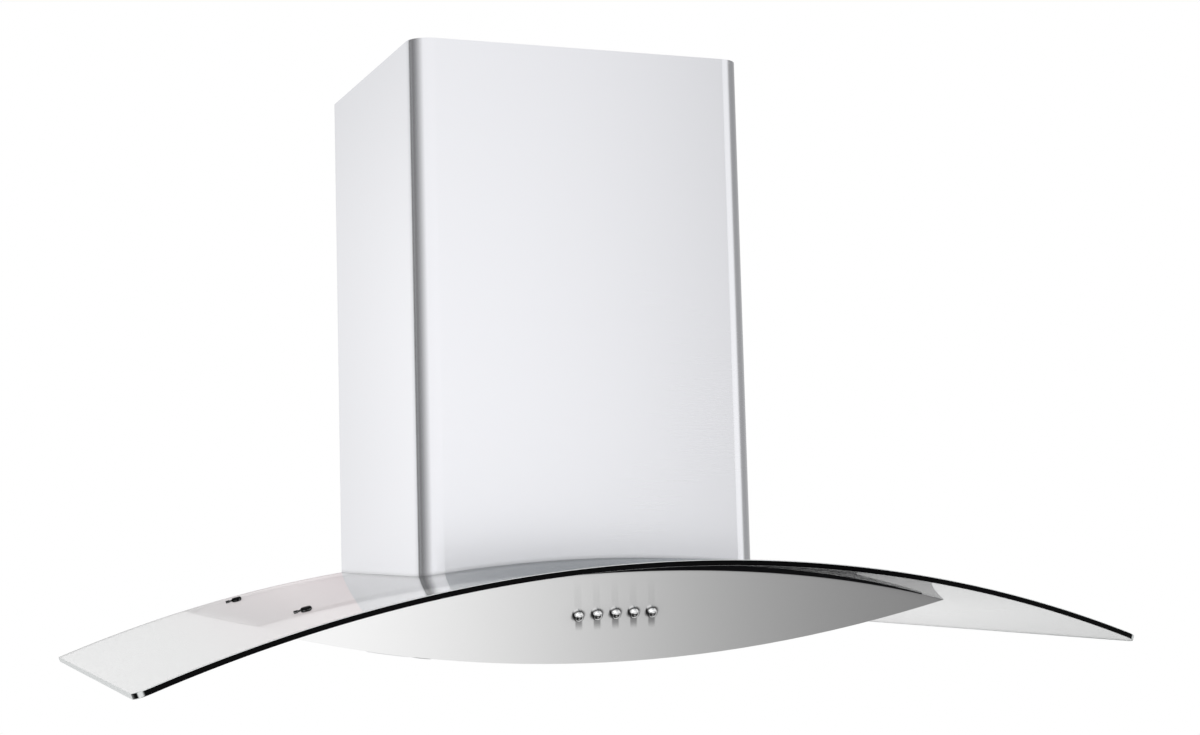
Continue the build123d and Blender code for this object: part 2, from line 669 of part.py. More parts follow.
def make_filter_latch():
    """Slide with a bolt at its front and a finger grip below."""
    _, outer_l, centre = filter_pocket()
    front = centre - pocket_l / 2 + MOVE_GAP
    slide = Pos(0, front + LATCH_L / 2, latch_z + LATCH_T / 2) * Box(LATCH_W, LATCH_L, LATCH_T)
    tip = -filter_l / 2 - FILTER_GAP - SHEET - TONGUE_BOLT_REACH
    bolt_l = front - tip
    bolt = Pos(0, tip + bolt_l / 2, latch_z + LATCH_T / 2) * Box(TONGUE_BOLT_W, bolt_l, LATCH_T)
    upper_edge = bolt.edges().filter_by(Axis.X).group_by(Axis.Y)[0].sort_by(Axis.Z)[-1]
    bolt = chamfer(upper_edge, LATCH_T / 2)
    grip_h = latch_z + GRIP_DROP
    grip_y = front + LATCH_L - GRIP_T / 2
    grip = Pos(0, grip_y, latch_z - grip_h / 2) * Box(LATCH_W - 2 * LATCH_LIP, GRIP_T, grip_h)
    grip = fillet(grip.edges().filter_by(Axis.Y).group_by(Axis.Z)[0], GRIP_CORNER_R)
    return slide + bolt + grip


def make_lamp_bezel():
    """Turned ring with a neck through the pan."""
    flange = Pos(0, 0, -LAMP_FLANGE_T) * ring(LAMP_FLANGE_R, LAMP_WINDOW_R, LAMP_FLANGE_T)
    low_edges = flange.edges().filter_by(GeomType.CIRCLE).group_by(Axis.Z)[0]
    flange = chamfer(low_edges.sort_by(SortBy.RADIUS)[-1], LAMP_FLANGE_BEVEL)
    return flange + ring(LAMP_NECK_R, LAMP_NECK_R - LAMP_NECK_WALL, LAMP_NECK_H)


def make_lamp_lens():
    """Frosted disc that rests on the bezel's inner ledge."""
    return extrude(Circle(LAMP_NECK_R - LAMP_NECK_WALL - FIT), amount=LAMP_LENS_T)


def make_lamp_module():
    """Closed lamp module with a finned back."""
    radius = LAMP_NECK_R - LAMP_NECK_WALL - FIT
    body = Pos(0, 0, LAMP_LENS_T) * extrude(Circle(radius), amount=LAMP_MODULE_H)
    for index in range(LAMP_FIN_GAPS):
        x = (index - (LAMP_FIN_GAPS - 1) / 2) * LAMP_FIN_PITCH
        body -= Pos(x, 0, LAMP_LENS_T + LAMP_MODULE_H) * Box(LAMP_FIN_GAP, 4 * radius, 2 * LAMP_FIN_H)
    return body


# Blower. Its wheel turns about a line along X, at this depth and height
housing_rear = BACK_T + FIT
axis_depth = housing_rear + SHEET + VOLUTE_REAR_GAP + VOLUTE_WALL + VOLUTE_R + VOLUTE_STEP / 2
wheel_place = Pos(0, -axis_depth, AXIS_Z)
volute_half_w = WHEEL_W / 2 + VOLUTE_SIDE_GAP + VOLUTE_WALL
mouth_front = VOLUTE_R + 2.5 * VOLUTE_STEP
mouth_centre = (mouth_front + VOLUTE_MOUTH_BACK) / 2
collar_depth = axis_depth + mouth_centre


def volute_face(inset):
    """Four-centre volute drawn round the wheel's axis: first axis to the room, second up."""
    half = VOLUTE_STEP / 2
    start_r = VOLUTE_R - VOLUTE_STEP - inset
    back_r = VOLUTE_R - inset
    low_arc_r = VOLUTE_R + VOLUTE_STEP - inset
    front_r = VOLUTE_R + 2 * VOLUTE_STEP - inset
    tongue = radians(VOLUTE_TONGUE)
    middle = (tongue + pi / 2) / 2
    diagonal = sqrt(0.5)
    begin = (-half + start_r * cos(tongue), half + start_r * sin(tongue))
    begin_mid = (-half + start_r * cos(middle), half + start_r * sin(middle))
    top = (-half, half + start_r)
    back_mid = (-half - back_r * diagonal, -half + back_r * diagonal)
    back = (-half - back_r, -half)
    low_mid = (half - low_arc_r * diagonal, -half - low_arc_r * diagonal)
    low = (half, -half - low_arc_r)
    front_mid = (half + front_r * diagonal, half - front_r * diagonal)
    front = (half + front_r, half)
    mouth = (half + front_r, AXIS_TO_TOP)
    mouth_back = (VOLUTE_MOUTH_BACK + inset, AXIS_TO_TOP)
    arcs = [
        ThreePointArc(begin, begin_mid, top),
        ThreePointArc(top, back_mid, back),
        ThreePointArc(back, low_mid, low),
        ThreePointArc(low, front_mid, front),
        Line(front, mouth),
        Line(mouth, mouth_back),
        Line(mouth_back, begin),
    ]
    return make_face(arcs)


# Local drawing plane of the blower: its x is towards the room, its y is up, its z is -X
blower_plane = Plane(origin=(0, 0, 0), x_dir=(0, -1, 0), z_dir=(-1, 0, 0))


def blower_extrude(face, x_from, x_to):
    """A blower drawing carried from one x to another."""
    return extrude(blower_plane.offset(-x_to) * face, amount=x_to - x_from)


def make_scroll_half():
    """Right half of the volute: a side with a flared inlet, the wall, and half the mouth flange."""
    outer = blower_extrude(volute_face(-VOLUTE_WALL), 0, volute_half_w)
    inner = blower_extrude(volute_face(0), -VOLUTE_WALL, volute_half_w - VOLUTE_WALL)
    half = outer - inner
    half += rod(INLET_R + VOLUTE_WALL + INLET_RIM, volute_half_w - VOLUTE_WALL, volute_half_w)
    half += rod(INLET_R + VOLUTE_WALL, WHEEL_W / 2 + INLET_LIP_GAP, volute_half_w)
    half -= rod(INLET_R, -VOLUTE_WALL, room)
    length = mouth_front - VOLUTE_MOUTH_BACK
    flange_l = length + 2 * MOUTH_FLANGE
    flange_w = volute_half_w + MOUTH_FLANGE
    flange = Pos(flange_w / 2, -mouth_centre) * Rectangle(flange_w, flange_l)
    opening = Pos(0, -mouth_centre) * Rectangle(2 * (volute_half_w - VOLUTE_WALL), length)
    half += upright(flange - opening, AXIS_TO_TOP - VOLUTE_WALL, AXIS_TO_TOP)
    return wheel_place * half


def make_impeller():
    """Double-inlet wheel: blades bent forward between two rings, on a centre web and hub."""
    span = WHEEL_R - WHEEL_INNER_R
    inner_x = WHEEL_INNER_R + BLADE_INSET
    outer_x = WHEEL_R - BLADE_INSET
    tip_y = span * BLADE_SWEEP
    bow_x = inner_x + span * 0.6
    bow_y = tip_y * 0.15
    pressure_side = [(inner_x, 0), (bow_x, bow_y), (outer_x, tip_y)]
    suction_side = [(outer_x - BLADE_T, tip_y), (bow_x - BLADE_T / 3, bow_y + BLADE_T), (inner_x, BLADE_T)]
    blade = make_face(Polyline(*pressure_side, *suction_side, close=True))
    blades = []
    for index in range(BLADE_COUNT):
        angle = 360 / BLADE_COUNT * index
        blades.append(Rot(0, 0, angle) * blade)
    half_w = WHEEL_W / 2
    wheel = rod(WHEEL_R, -WEB_T / 2, WEB_T / 2) + rod(HUB_R, -HUB_W / 2, HUB_W / 2)
    rim = blower_extrude(Circle(WHEEL_R) - Circle(WHEEL_INNER_R), half_w - WHEEL_RING_W, half_w)
    wheel += [rim, mirrored(rim)]
    end_x = half_w - WHEEL_RING_W / 2
    wheel += [blower_extrude(blade, -end_x, end_x) for blade in blades]
    wheel -= rod(SHAFT_R, -room, room)
    return wheel_place * wheel


def make_motor_shaft():
    """Steel shaft, fast in the hub and free in the motor."""
    return wheel_place * rod(SHAFT_R, -HUB_W / 2 - SHAFT_END, MOTOR_START + MOTOR_BORE_L - SHAFT_END)


def make_motor():
    """Closed motor with a boss at each end, half inside the wheel."""
    end = MOTOR_START + MOTOR_L
    body = rod(MOTOR_R, MOTOR_START + MOTOR_BOSS_H, end - MOTOR_BOSS_H)
    body = chamfer(body.edges(), MOTOR_BOSS_H)
    body += rod(MOTOR_BOSS_R, MOTOR_START, end)
    groove = Circle(MOTOR_R + MOTOR_GROOVE_D) - Circle(MOTOR_R - MOTOR_GROOVE_D)
    middle = (MOTOR_START + end) / 2
    for x in (middle - MOTOR_GROOVE_X, middle + MOTOR_GROOVE_X):
        body -= blower_extrude(groove, x - MOTOR_GROOVE_W / 2, x + MOTOR_GROOVE_W / 2)
    body -= rod(SHAFT_R + RUN_GAP, 0, MOTOR_START + MOTOR_BORE_L)
    return wheel_place * body


bracket_x = volute_half_w + BUSH_H


def bracket_turn(index):
    """Turn of each of the three arms, the first of them pointing up."""
    return Rot(0, 0, 90 + 120 * index)


def make_motor_bracket():
    """Three-armed plate that clamps the motor and stands on the rubber bushes."""
    plate = Circle(MOTOR_R + BRACKET_RING)
    for index in range(3):
        arm = Pos(BRACKET_REACH_R / 2, 0) * Rectangle(BRACKET_REACH_R, BRACKET_ARM_W)
        pad = Pos(BRACKET_REACH_R, 0) * Circle(BRACKET_ARM_W / 2)
        plate += bracket_turn(index) * (arm + pad)
    plate -= Circle(MOTOR_R + FIT)
    for index in range(3):
        plate -= bracket_turn(index) * Pos(BRACKET_REACH_R, 0) * Circle(BUSH_SCREW_R + FIT)
    return wheel_place * blower_extrude(plate, bracket_x, bracket_x + BRACKET_T)


def bush_circle(radius, x_from, x_to):
    """Three round pieces at the ends of the bracket's arms."""
    pieces = []
    for index in range(3):
        spot = bracket_turn(index) * Pos(BRACKET_REACH_R, 0) * Circle(radius)
        pieces.append(wheel_place * blower_extrude(spot, x_from, x_to))
    return pieces


def make_motor_bushes():
    """Rubber bushes between the volute and the bracket."""
    outers = bush_circle(BUSH_R, volute_half_w, bracket_x)
    cores = bush_circle(BUSH_SCREW_R + FIT, volute_half_w - FIT, bracket_x + FIT)
    return [outer - core for outer, core in zip(outers, cores)]


def make_motor_screws():
    """Screws through the bushes, standing on the volute's side."""
    shanks = bush_circle(BUSH_SCREW_R, volute_half_w, bracket_x + BRACKET_T)
    head_x = bracket_x + BRACKET_T
    heads = bush_circle(BUSH_SCREW_HEAD_R, head_x, head_x + BUSH_SCREW_HEAD_H)
    return [shank + head for shank, head in zip(shanks, heads)]


def make_motor_housing():
    """Sheet box round the blower, open below, with a curved foot flange on the top panel."""
    depth = HOUSING_D - housing_rear
    centre = Pos(0, -(HOUSING_D + housing_rear) / 2)
    outer = centre * RectangleRounded(HOUSING_W, depth, HOUSING_CORNER_R)
    inner = centre * RectangleRounded(HOUSING_W - 2 * SHEET, depth - 2 * SHEET, HOUSING_CORNER_R - SHEET)
    low = crown_z - 2 * arc_drop(top_r, HOUSING_W / 2) - 2 * SHEET
    shell = upright(outer, low, housing_top) - upright(inner, low - SHEET, housing_top - SHEET)
    shell -= across(top_disc(panel_top_inset), -SHEET, GLASS_D)
    foot_band = top_disc(FIT) - top_disc(panel_top_inset)
    foot_outline = centre * Rectangle(HOUSING_W + 2 * HOUSING_FLANGE, depth + 2 * HOUSING_FLANGE)
    foot_outline &= Pos(0, -housing_rear - room / 2) * Rectangle(room, room)
    shell += upright(foot_outline - inner, low, 0) & across(foot_band, 0, GLASS_D)
    collar_hole = Pos(0, -collar_depth) * Circle(COLLAR_R - COLLAR_WALL)
    shell -= upright(collar_hole, housing_top - 2 * SHEET, housing_top + SHEET)
    for place in housing_screw_places:
        shell -= place * Cylinder(HOUSING_SCREW_R + FIT, 8 * SHEET)
    return shell


collar_place = Pos(0, -collar_depth, housing_top)
damper_r = COLLAR_R - COLLAR_WALL - DAMPER_RIM_GAP
damper_boss_r = DAMPER_KNUCKLE_R + DAMPER_BOSS_WALL


def make_outlet_collar():
    """Plastic duct collar with a foot flange, a stop ring and two bearings for the pin."""
    inner = COLLAR_R - COLLAR_WALL
    stop_z = DAMPER_Z - DAMPER_T / 2 - MOVE_GAP - COLLAR_WALL
    collar = ring(COLLAR_R, inner, COLLAR_H)
    collar += ring(COLLAR_FLANGE_R, inner, COLLAR_FLANGE_T)
    collar += Pos(0, 0, stop_z) * ring(inner + 1, inner - DAMPER_STOP_W, COLLAR_WALL)
    collar = Rot(0, 0, 90) * collar
    bosses = Pos(0, 0, DAMPER_Z) * rod(damper_boss_r, -inner - SHEET, inner + SHEET)
    bosses &= Rot(0, 0, 90) * extrude(Circle(COLLAR_R) - Circle(inner - DAMPER_STOP_W), amount=COLLAR_H)
    collar += bosses
    collar -= Pos(0, 0, DAMPER_Z) * Rot(0, 90, 0) * Cylinder(DAMPER_PIN_R + RUN_GAP, 2 * inner + COLLAR_WALL)
    return collar_place * collar


def make_damper_pin():
    """Steel pin across the collar."""
    reach = COLLAR_R - COLLAR_WALL + COLLAR_WALL / 4
    return collar_place * Pos(0, 0, DAMPER_Z) * rod(DAMPER_PIN_R, -reach, reach)


def make_damper(side):
    """Half-round flap with knuckles on the pin; side is -1 to the room and 1 to the wall."""
    disc = Circle(damper_r) & (Pos(0, side * room / 2) * Rectangle(room, room))
    clear = DAMPER_KNUCKLE_R + MOVE_GAP
    boss_clear = COLLAR_R - COLLAR_WALL - DAMPER_STOP_W - 2 * MOVE_GAP
    plate = disc - Pos(0, side * clear / 2) * Rectangle(room, clear)
    corner_clear = damper_boss_r + 2 * MOVE_GAP
    corner = Rectangle(room, 2 * corner_clear) - Rectangle(2 * boss_clear, 2 * corner_clear)
    plate -= corner
    flap = Pos(0, 0, -DAMPER_T / 2) * extrude(plate, amount=DAMPER_T)
    span = 2 * (boss_clear - MOVE_GAP) / DAMPER_KNUCKLES
    for index in range(DAMPER_KNUCKLES):
        if (index % 2 == 0) != (side < 0):
            continue
        start = -(boss_clear - MOVE_GAP) + index * span + MOVE_GAP / 2
        end = start + span - MOVE_GAP
        knuckle = rod(DAMPER_KNUCKLE_R, start, end)
        arm = Pos((start + end) / 2, side * clear / 2, 0) * Box(end - start, clear + MOVE_GAP, DAMPER_T)
        flap += [knuckle, arm]
    flap -= rod(DAMPER_PIN_R + RUN_GAP, -room, room)
    return collar_place * Pos(0, 0, DAMPER_Z) * flap


# Electrical parts stand on the housing's top
def make_terminal_box():
    """Open plastic box with a terminal block on its floor."""
    length, width, height = TERMINAL_BOX
    outer = extrude(RectangleRounded(length, width, TERMINAL_CORNER_R), amount=height)
    hollow = Rectangle(length - 2 * TERMINAL_WALL, width - 2 * TERMINAL_WALL)
    box = outer - Pos(0, 0, TERMINAL_WALL) * extrude(hollow, amount=height)
    box += Pos(0, 0, TERMINAL_WALL + TERMINAL_BLOCK[2] / 2) * Box(*TERMINAL_BLOCK)
    box -= Pos(length / 2, 0, height / 2) * rod(GLAND_THREAD_R, -2 * TERMINAL_WALL, 2 * TERMINAL_WALL)
    return Pos(TERMINAL_AT[0], -TERMINAL_AT[1], housing_top) * box


def make_terminal_lid():
    """Flat lid on the terminal box."""
    length, width, height = TERMINAL_BOX
    lid = extrude(RectangleRounded(length, width, TERMINAL_CORNER_R), amount=TERMINAL_LID_T)
    lid = chamfer(lid.edges().group_by(Axis.Z)[-1], TERMINAL_LID_T / 2)
    return Pos(TERMINAL_AT[0], -TERMINAL_AT[1], housing_top + height) * lid


def make_cable_gland():
    """Nipple in the box's side, through which the supply cable would enter."""
    length, _, height = TERMINAL_BOX
    outside = extrude(RegularPolygon(GLAND_R, 6), amount=GLAND_NUT_H)
    outside += extrude(Circle(GLAND_THREAD_R - FIT), amount=GLAND_L)
    inside = extrude(Circle(GLAND_THREAD_R - FIT), amount=-2 * TERMINAL_WALL)
    gland = outside + inside - Cylinder(GLAND_BORE_R, 4 * GLAND_L)
    side_x = TERMINAL_AT[0] + length / 2
    return Pos(side_x, -TERMINAL_AT[1], housing_top + height / 2) * Rot(0, 90, 0) * gland


def make_capacitor():
    """Round run capacitor with a crimped end."""
    can = extrude(Circle(CAPACITOR_R), amount=CAPACITOR_H)
    can = chamfer(can.edges().group_by(Axis.Z)[-1], CAPACITOR_ROUND)
    can -= Pos(0, 0, CAPACITOR_H - CRIMP_DROP) * ring(CAPACITOR_R + CRIMP_D, CAPACITOR_R - CRIMP_D, CRIMP_W)
    can += Pos(0, 0, CAPACITOR_H) * extrude(Circle(CAPACITOR_STUD_R), amount=CAPACITOR_STUD_H)
    return Pos(CAPACITOR_AT[0], -CAPACITOR_AT[1], housing_top) * can


# Chimney
def chimney_outline(inset):
    """Plan of a chimney sheet's outer face, moved inwards by inset."""
    outline = Pos(0, -CHIMNEY_D / 2) * Rectangle(CHIMNEY_W - 2 * inset, CHIMNEY_D - 2 * inset)
    outline = fillet(outline.vertices().group_by(Axis.Y)[0], CHIMNEY_BEND_R - inset)
    return fillet(outline.vertices().group_by(Axis.Y)[-1], CHIMNEY_REAR_BEND_R - inset)


def chimney_sheet(inset):
    """Plan of a U-shaped sheet with return flanges at the wall."""
    gap_w = CHIMNEY_W - 2 * inset - 2 * CHIMNEY_RETURN
    gap = Rectangle(gap_w, 4 * CHIMNEY_RETURN)
    return chimney_outline(inset) - chimney_outline(inset + SHEET) - gap


def make_chimney_cover():
    """Outer section, cut at its foot to stand on the curved glass."""
    low = -2 * arc_drop(GLASS_R, CHIMNEY_W / 2)
    return upright(chimney_sheet(0), low, CHIMNEY_TOP) - glass_prism(RUN_GAP)


upper_inset = SHEET + SLIDE_GAP
upper_top = CHIMNEY_TOP - UPPER_TOP_DROP


def make_upper_chimney():
    """Inner telescopic section with a column of air slots on each side."""
    section = upright(chimney_sheet(upper_inset), UPPER_FOOT, upper_top)
    cutter_w = CHIMNEY_W + SHEET
    for index in range(SLOT_COUNT):
        z = upper_top - SLOT_TOP - index * SLOT_PITCH
        slot = Pos(0, -CHIMNEY_D / 2, z) * Box(cutter_w, SLOT_L, SLOT_H)
        section -= slot
    return section


def make_chimney_bracket():
    """Bent wall strip: a web on the wall and an ear along each side of the inner section."""
    side_x = CHIMNEY_W / 2 - upper_inset - SHEET
    web_half = side_x - CHIMNEY_RETURN - BRACKET_RETURN_GAP
    step_depth = CHIMNEY_RETURN + BRACKET_STEP
    web = Pos(0, -BRACKET_STRIP_T / 2) * Rectangle(2 * web_half, BRACKET_STRIP_T)
    leg = Pos(web_half - BRACKET_STRIP_T / 2, -step_depth / 2) * Rectangle(BRACKET_STRIP_T, step_depth)
    step_w = side_x - web_half + BRACKET_STRIP_T
    step = Pos(side_x - step_w / 2, -step_depth + BRACKET_STRIP_T / 2) * Rectangle(step_w, BRACKET_STRIP_T)
    ear_depth = step_depth - BRACKET_STRIP_T + BRACKET_EAR / 2
    ear = Pos(side_x - BRACKET_STRIP_T / 2, -ear_depth) * Rectangle(BRACKET_STRIP_T, BRACKET_EAR)
    right = leg + step + ear
    outline = web + right + mirror(right, about=Plane.YZ)
    top = upper_top - BRACKET_DROP
    bracket = upright(outline, top - BRACKET_H, top)
    for x in (-BRACKET_HOLE_PITCH / 2, BRACKET_HOLE_PITCH / 2):
        hole = Pos(x, top - BRACKET_H / 2) * Circle(BRACKET_HOLE_R)
        bracket -= across(hole, -SHEET, 2 * BRACKET_STRIP_T)
    return bracket


def placed_group(maker):
    """The same piece at each glass fixing."""
    return Compound([place * maker() for place in fixing_places])


def main():
    """Make every piece and write it under its own name."""
    sides = [-1, 1] * len(fixing_depths)
    caps = [place * make_glass_cap(side) for place, side in zip(fixing_places, sides)]
    well = make_filter_well()
    frame = filter_place * make_filter_frame()
    mesh = filter_place * make_filter_mesh()
    latch = filter_place * make_filter_latch()
    scroll = make_scroll_half()
    parts = {
        "glass_canopy": make_glass_canopy(),
        "glass_seal": make_glass_seal(),
        "glass_bushes": placed_group(make_glass_bush),
        "glass_caps": Compound(caps),
        "glass_screws": placed_group(make_glass_screw),
        "glass_nuts": placed_group(make_glass_nut),
        "fascia_panel": make_fascia_panel(),
        "switch_bank": make_switch_bank(),
        "back_plate": make_back_plate(),
        "top_panel": make_top_panel(),
        "bottom_pan": make_bottom_pan(),
        "filter_well_right": well,
        "filter_well_left": mirrored(well),
        "filter_frame_right": frame,
        "filter_frame_left": mirrored(frame),
        "filter_mesh_right": mesh,
        "filter_mesh_left": mirrored(mesh),
        "filter_latch_right": latch,
        "filter_latch_left": mirrored(latch),
        "scroll_right": scroll,
        "scroll_left": mirrored(scroll),
        "impeller": make_impeller(),
        "motor_shaft": make_motor_shaft(),
        "motor": make_motor(),
        "motor_bracket": make_motor_bracket(),
        "motor_bushes": Compound(make_motor_bushes()),
        "motor_screws": Compound(make_motor_screws()),
        "motor_housing": make_motor_housing(),
        "housing_screws": Compound([place * make_housing_screw() for place in housing_screw_places]),
        "outlet_collar": make_outlet_collar(),
        "damper_pin": make_damper_pin(),
        "damper_front": make_damper(-1),
        "damper_rear": make_damper(1),
        "terminal_box": make_terminal_box(),
        "terminal_lid": make_terminal_lid(),
        "cable_gland": make_cable_gland(),
        "capacitor": make_capacitor(),
        "chimney_cover": make_chimney_cover(),
        "upper_chimney": make_upper_chimney(),
        "chimney_bracket": make_chimney_bracket(),
    }
    for index in range(BUTTON_COUNT):
        parts[f"button_{index + 1}"] = button_place(index) * make_button()
    for side, name in ((-1, "left"), (1, "right")):
        parts[f"lamp_bezel_{name}"] = lamp_place(side) * make_lamp_bezel()
        parts[f"lamp_lens_{name}"] = lamp_place(side) * make_lamp_lens()
        parts[f"lamp_module_{name}"] = lamp_place(side) * make_lamp_module()
    os.makedirs("parts", exist_ok=True)
    for name, shape in parts.items():
        export_step(shape, f"parts/{name}.step")


main()
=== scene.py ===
import bpy
import numpy as np
from math import cos, pi, sin
from mathutils import Matrix, Vector


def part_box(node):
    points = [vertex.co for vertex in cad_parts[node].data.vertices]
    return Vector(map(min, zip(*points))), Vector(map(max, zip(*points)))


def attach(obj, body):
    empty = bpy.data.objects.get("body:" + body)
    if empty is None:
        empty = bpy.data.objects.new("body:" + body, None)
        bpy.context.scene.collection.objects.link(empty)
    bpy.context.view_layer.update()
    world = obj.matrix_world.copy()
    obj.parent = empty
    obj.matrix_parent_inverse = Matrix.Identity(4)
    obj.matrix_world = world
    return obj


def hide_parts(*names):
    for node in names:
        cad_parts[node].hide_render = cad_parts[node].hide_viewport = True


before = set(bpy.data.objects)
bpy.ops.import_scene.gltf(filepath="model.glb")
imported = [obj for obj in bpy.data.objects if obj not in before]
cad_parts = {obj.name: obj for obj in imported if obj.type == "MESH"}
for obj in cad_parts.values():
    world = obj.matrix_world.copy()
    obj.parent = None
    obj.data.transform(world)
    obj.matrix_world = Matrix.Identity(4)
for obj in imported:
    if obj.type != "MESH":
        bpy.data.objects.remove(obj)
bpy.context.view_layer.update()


# ---------------------------------------------------------------- viewpoint
# The photograph is taken from the left, from just above the crown of the glass, with the lens
# turned slightly upwards. The camera frame is 36 mm wide.
CAMERA_AT = Vector((-0.6519, -1.9228, 0.0326))
CAMERA_YAW = 0.3858
CAMERA_PITCH = 0.0822
CAMERA_ROLL = -0.0268
CAMERA_LENS = 56.59
FRAME_WIDTH = 36

ahead = Vector(
    (sin(CAMERA_YAW) * cos(CAMERA_PITCH), cos(CAMERA_YAW) * cos(CAMERA_PITCH), sin(CAMERA_PITCH))
)
level = Vector((cos(CAMERA_YAW), -sin(CAMERA_YAW), 0))
upward = level.cross(ahead)
camera_x = level * cos(CAMERA_ROLL) + upward * sin(CAMERA_ROLL)
camera_y = upward * cos(CAMERA_ROLL) - level * sin(CAMERA_ROLL)
camera = bpy.data.objects.new("camera", bpy.data.cameras.new("camera"))
camera.data.lens = CAMERA_LENS
camera.data.sensor_width = FRAME_WIDTH
camera_turn = Matrix((camera_x, camera_y, -ahead)).transposed().to_4x4()
camera.matrix_world = Matrix.Translation(CAMERA_AT) @ camera_turn
bpy.context.scene.collection.objects.link(camera)
bpy.context.scene.camera = camera
bpy.context.scene.view_settings.view_transform = "Standard"


# ---------------------------------------------------------------- studio
# A white studio. The metal sees a ring of bright walls with dark gaps between them, which draw
# the lines along the bends, and a ground that grows darker towards the right.
class Wire:
    """One output of a shader node. Arithmetic on it adds the Math nodes."""

    def __init__(self, finish, socket):
        self.finish = finish
        self.socket = socket

    def math(self, operation, *others, swapped=False):
        operands = (self,) + others
        values = dict(enumerate(reversed(operands) if swapped else operands))
        return self.finish.node("ShaderNodeMath", {"operation": operation}, values)

    def __add__(self, other):
        return self.math("ADD", other)

    def __sub__(self, other):
        return self.math("SUBTRACT", other)

    def __rsub__(self, other):
        return self.math("SUBTRACT", other, swapped=True)

    def __mul__(self, other):
        return self.math("MULTIPLY", other)

    def __truediv__(self, other):
        return self.math("DIVIDE", other)

    __radd__ = __add__
    __rmul__ = __mul__

    def step(self, low, high):
        """Smooth step: 0 below low, 1 above high, an S-curve between."""
        values = {"Value": self, "From Min": low, "From Max": high}
        settings = {"interpolation_type": "SMOOTHSTEP"}
        return self.finish.node("ShaderNodeMapRange", settings, values)

    def hump(self, start, full, fade, end):
        """Rises from 0 to 1 between start and full, and falls back to 0 between fade and end."""
        return self.step(start, full) * (1 - self.step(fade, end))

    def part(self, axis):
        """One component of a vector, by its index."""
        return self.finish.node("ShaderNodeSeparateXYZ", {}, {0: self}, axis)

    def flat_length(self):
        """Length of a vector without its third component."""
        flat = self.finish.vector("MULTIPLY", self, (1, 1, 0))
        return self.finish.vector("LENGTH", flat, output="Value")


class Finish:
    """A material, or the world, while its nodes are laid out."""

    def __init__(self, owner):
        owner.use_nodes = True
        self.owner = owner
        self.tree = owner.node_tree
        self.tree.nodes.clear()

    def node(self, kind, settings, values, output=0):
        """Adds a node: its settings first, then the values or links of its sockets."""
        made = self.tree.nodes.new(kind)
        for name, value in settings.items():
            if name == "stops":
                self.set_stops(made.color_ramp.elements, value)
            else:
                setattr(made, name, value)
        for key, value in values.items():
            if isinstance(value, Wire):
                self.tree.links.new(value.socket, made.inputs[key])
            else:
                made.inputs[key].default_value = value
        return Wire(self, made.outputs[output]) if len(made.outputs) else None

    @staticmethod
    def set_stops(elements, stops):
        """Gives a ramp its stops, in rising order."""
        elements[0].position = stops[0][0]
        elements[-1].position = stops[-1][0]
        for position, _ in stops[1:-1]:
            elements.new(position)
        for element, (_, color) in zip(elements, stops):
            element.color = (*color, 1)

    def ramp(self, value, stops):
        """The colour that belongs to a value from 0 to 1."""
        return self.node("ShaderNodeValToRGB", {"stops": stops}, {"Fac": value})

    def vector(self, operation, *operands, output=0):
        """Arithmetic on vectors."""
        settings = {"operation": operation}
        return self.node("ShaderNodeVectorMath", settings, dict(enumerate(operands)), output)

    def mix(self, factor, first, second, blend="MIX"):
        """A colour between two colours."""
        settings = {"data_type": "RGBA", "blend_type": blend}
        return self.node("ShaderNodeMix", settings, {0: factor, 6: first, 7: second}, 2)

    def mix_shader(self, factor, first, second):
        """A shader between two shaders."""
        return self.node("ShaderNodeMixShader", {}, {0: factor, 1: first, 2: second})

    def close(self, surface):
        """Links the last shader to the output and returns the finished material or world."""
        is_world = isinstance(self.owner, bpy.types.World)
        kind = "ShaderNodeOutputWorld" if is_world else "ShaderNodeOutputMaterial"
        self.node(kind, {}, {"Surface": surface})
        return self.owner


def grey(level):
    return (level, level, level)


# Brightness of the walls by heading, in degrees from straight ahead of the hood round to its left.
WALL_STOPS = (
    (-180, grey(0.86)),
    (-174, grey(0.80)),
    (-171, (0.80, 0.755, 0.765)),
    (-168, (0.90, 0.83, 0.84)),
    (-165, (0.60, 0.52, 0.56)),
    (-152, grey(0.84)),
    (-146, grey(0.56)),
    (-100, grey(0.38)),
    (-70, grey(0.40)),
    (-59, grey(1.12)),
    (-33, grey(1.14)),
    (-30, grey(0.48)),
    (-27.5, grey(0.70)),
    (-25.5, grey(1.03)),
    (-23.5, grey(1.10)),
    (-20.5, grey(1.14)),
    (-17, grey(1.17)),
    (42, grey(1.15)),
    (52, grey(0.92)),
    (66, grey(0.62)),
    (82, grey(0.36)),
    (104, grey(0.18)),
    (114, grey(0.42)),
    (120, grey(0.14)),
    (128, grey(0.14)),
    (130, grey(0.93)),
    (155, grey(0.96)),
    (160.5, grey(1.26)),
    (163.5, grey(1.15)),
    (168, grey(0.60)),
    (180, grey(0.86)),
)
# Brightness of the ground by the sideways part of the direction, from -1 at the left to 1.
GROUND_STOPS = (
    (-1, grey(0.66)),
    (0, grey(0.78)),
    (0.13, grey(0.90)),
    (0.20, grey(1.12)),
    (0.25, grey(1.11)),
    (0.29, grey(0.978)),
    (0.33, grey(0.826)),
    (0.361, grey(0.704)),
    (0.40, grey(0.553)),
    (0.428, grey(0.445)),
    (0.457, grey(0.367)),
    (0.502, grey(0.279)),
    (0.56, grey(0.22)),
    (1, grey(0.30)),
)
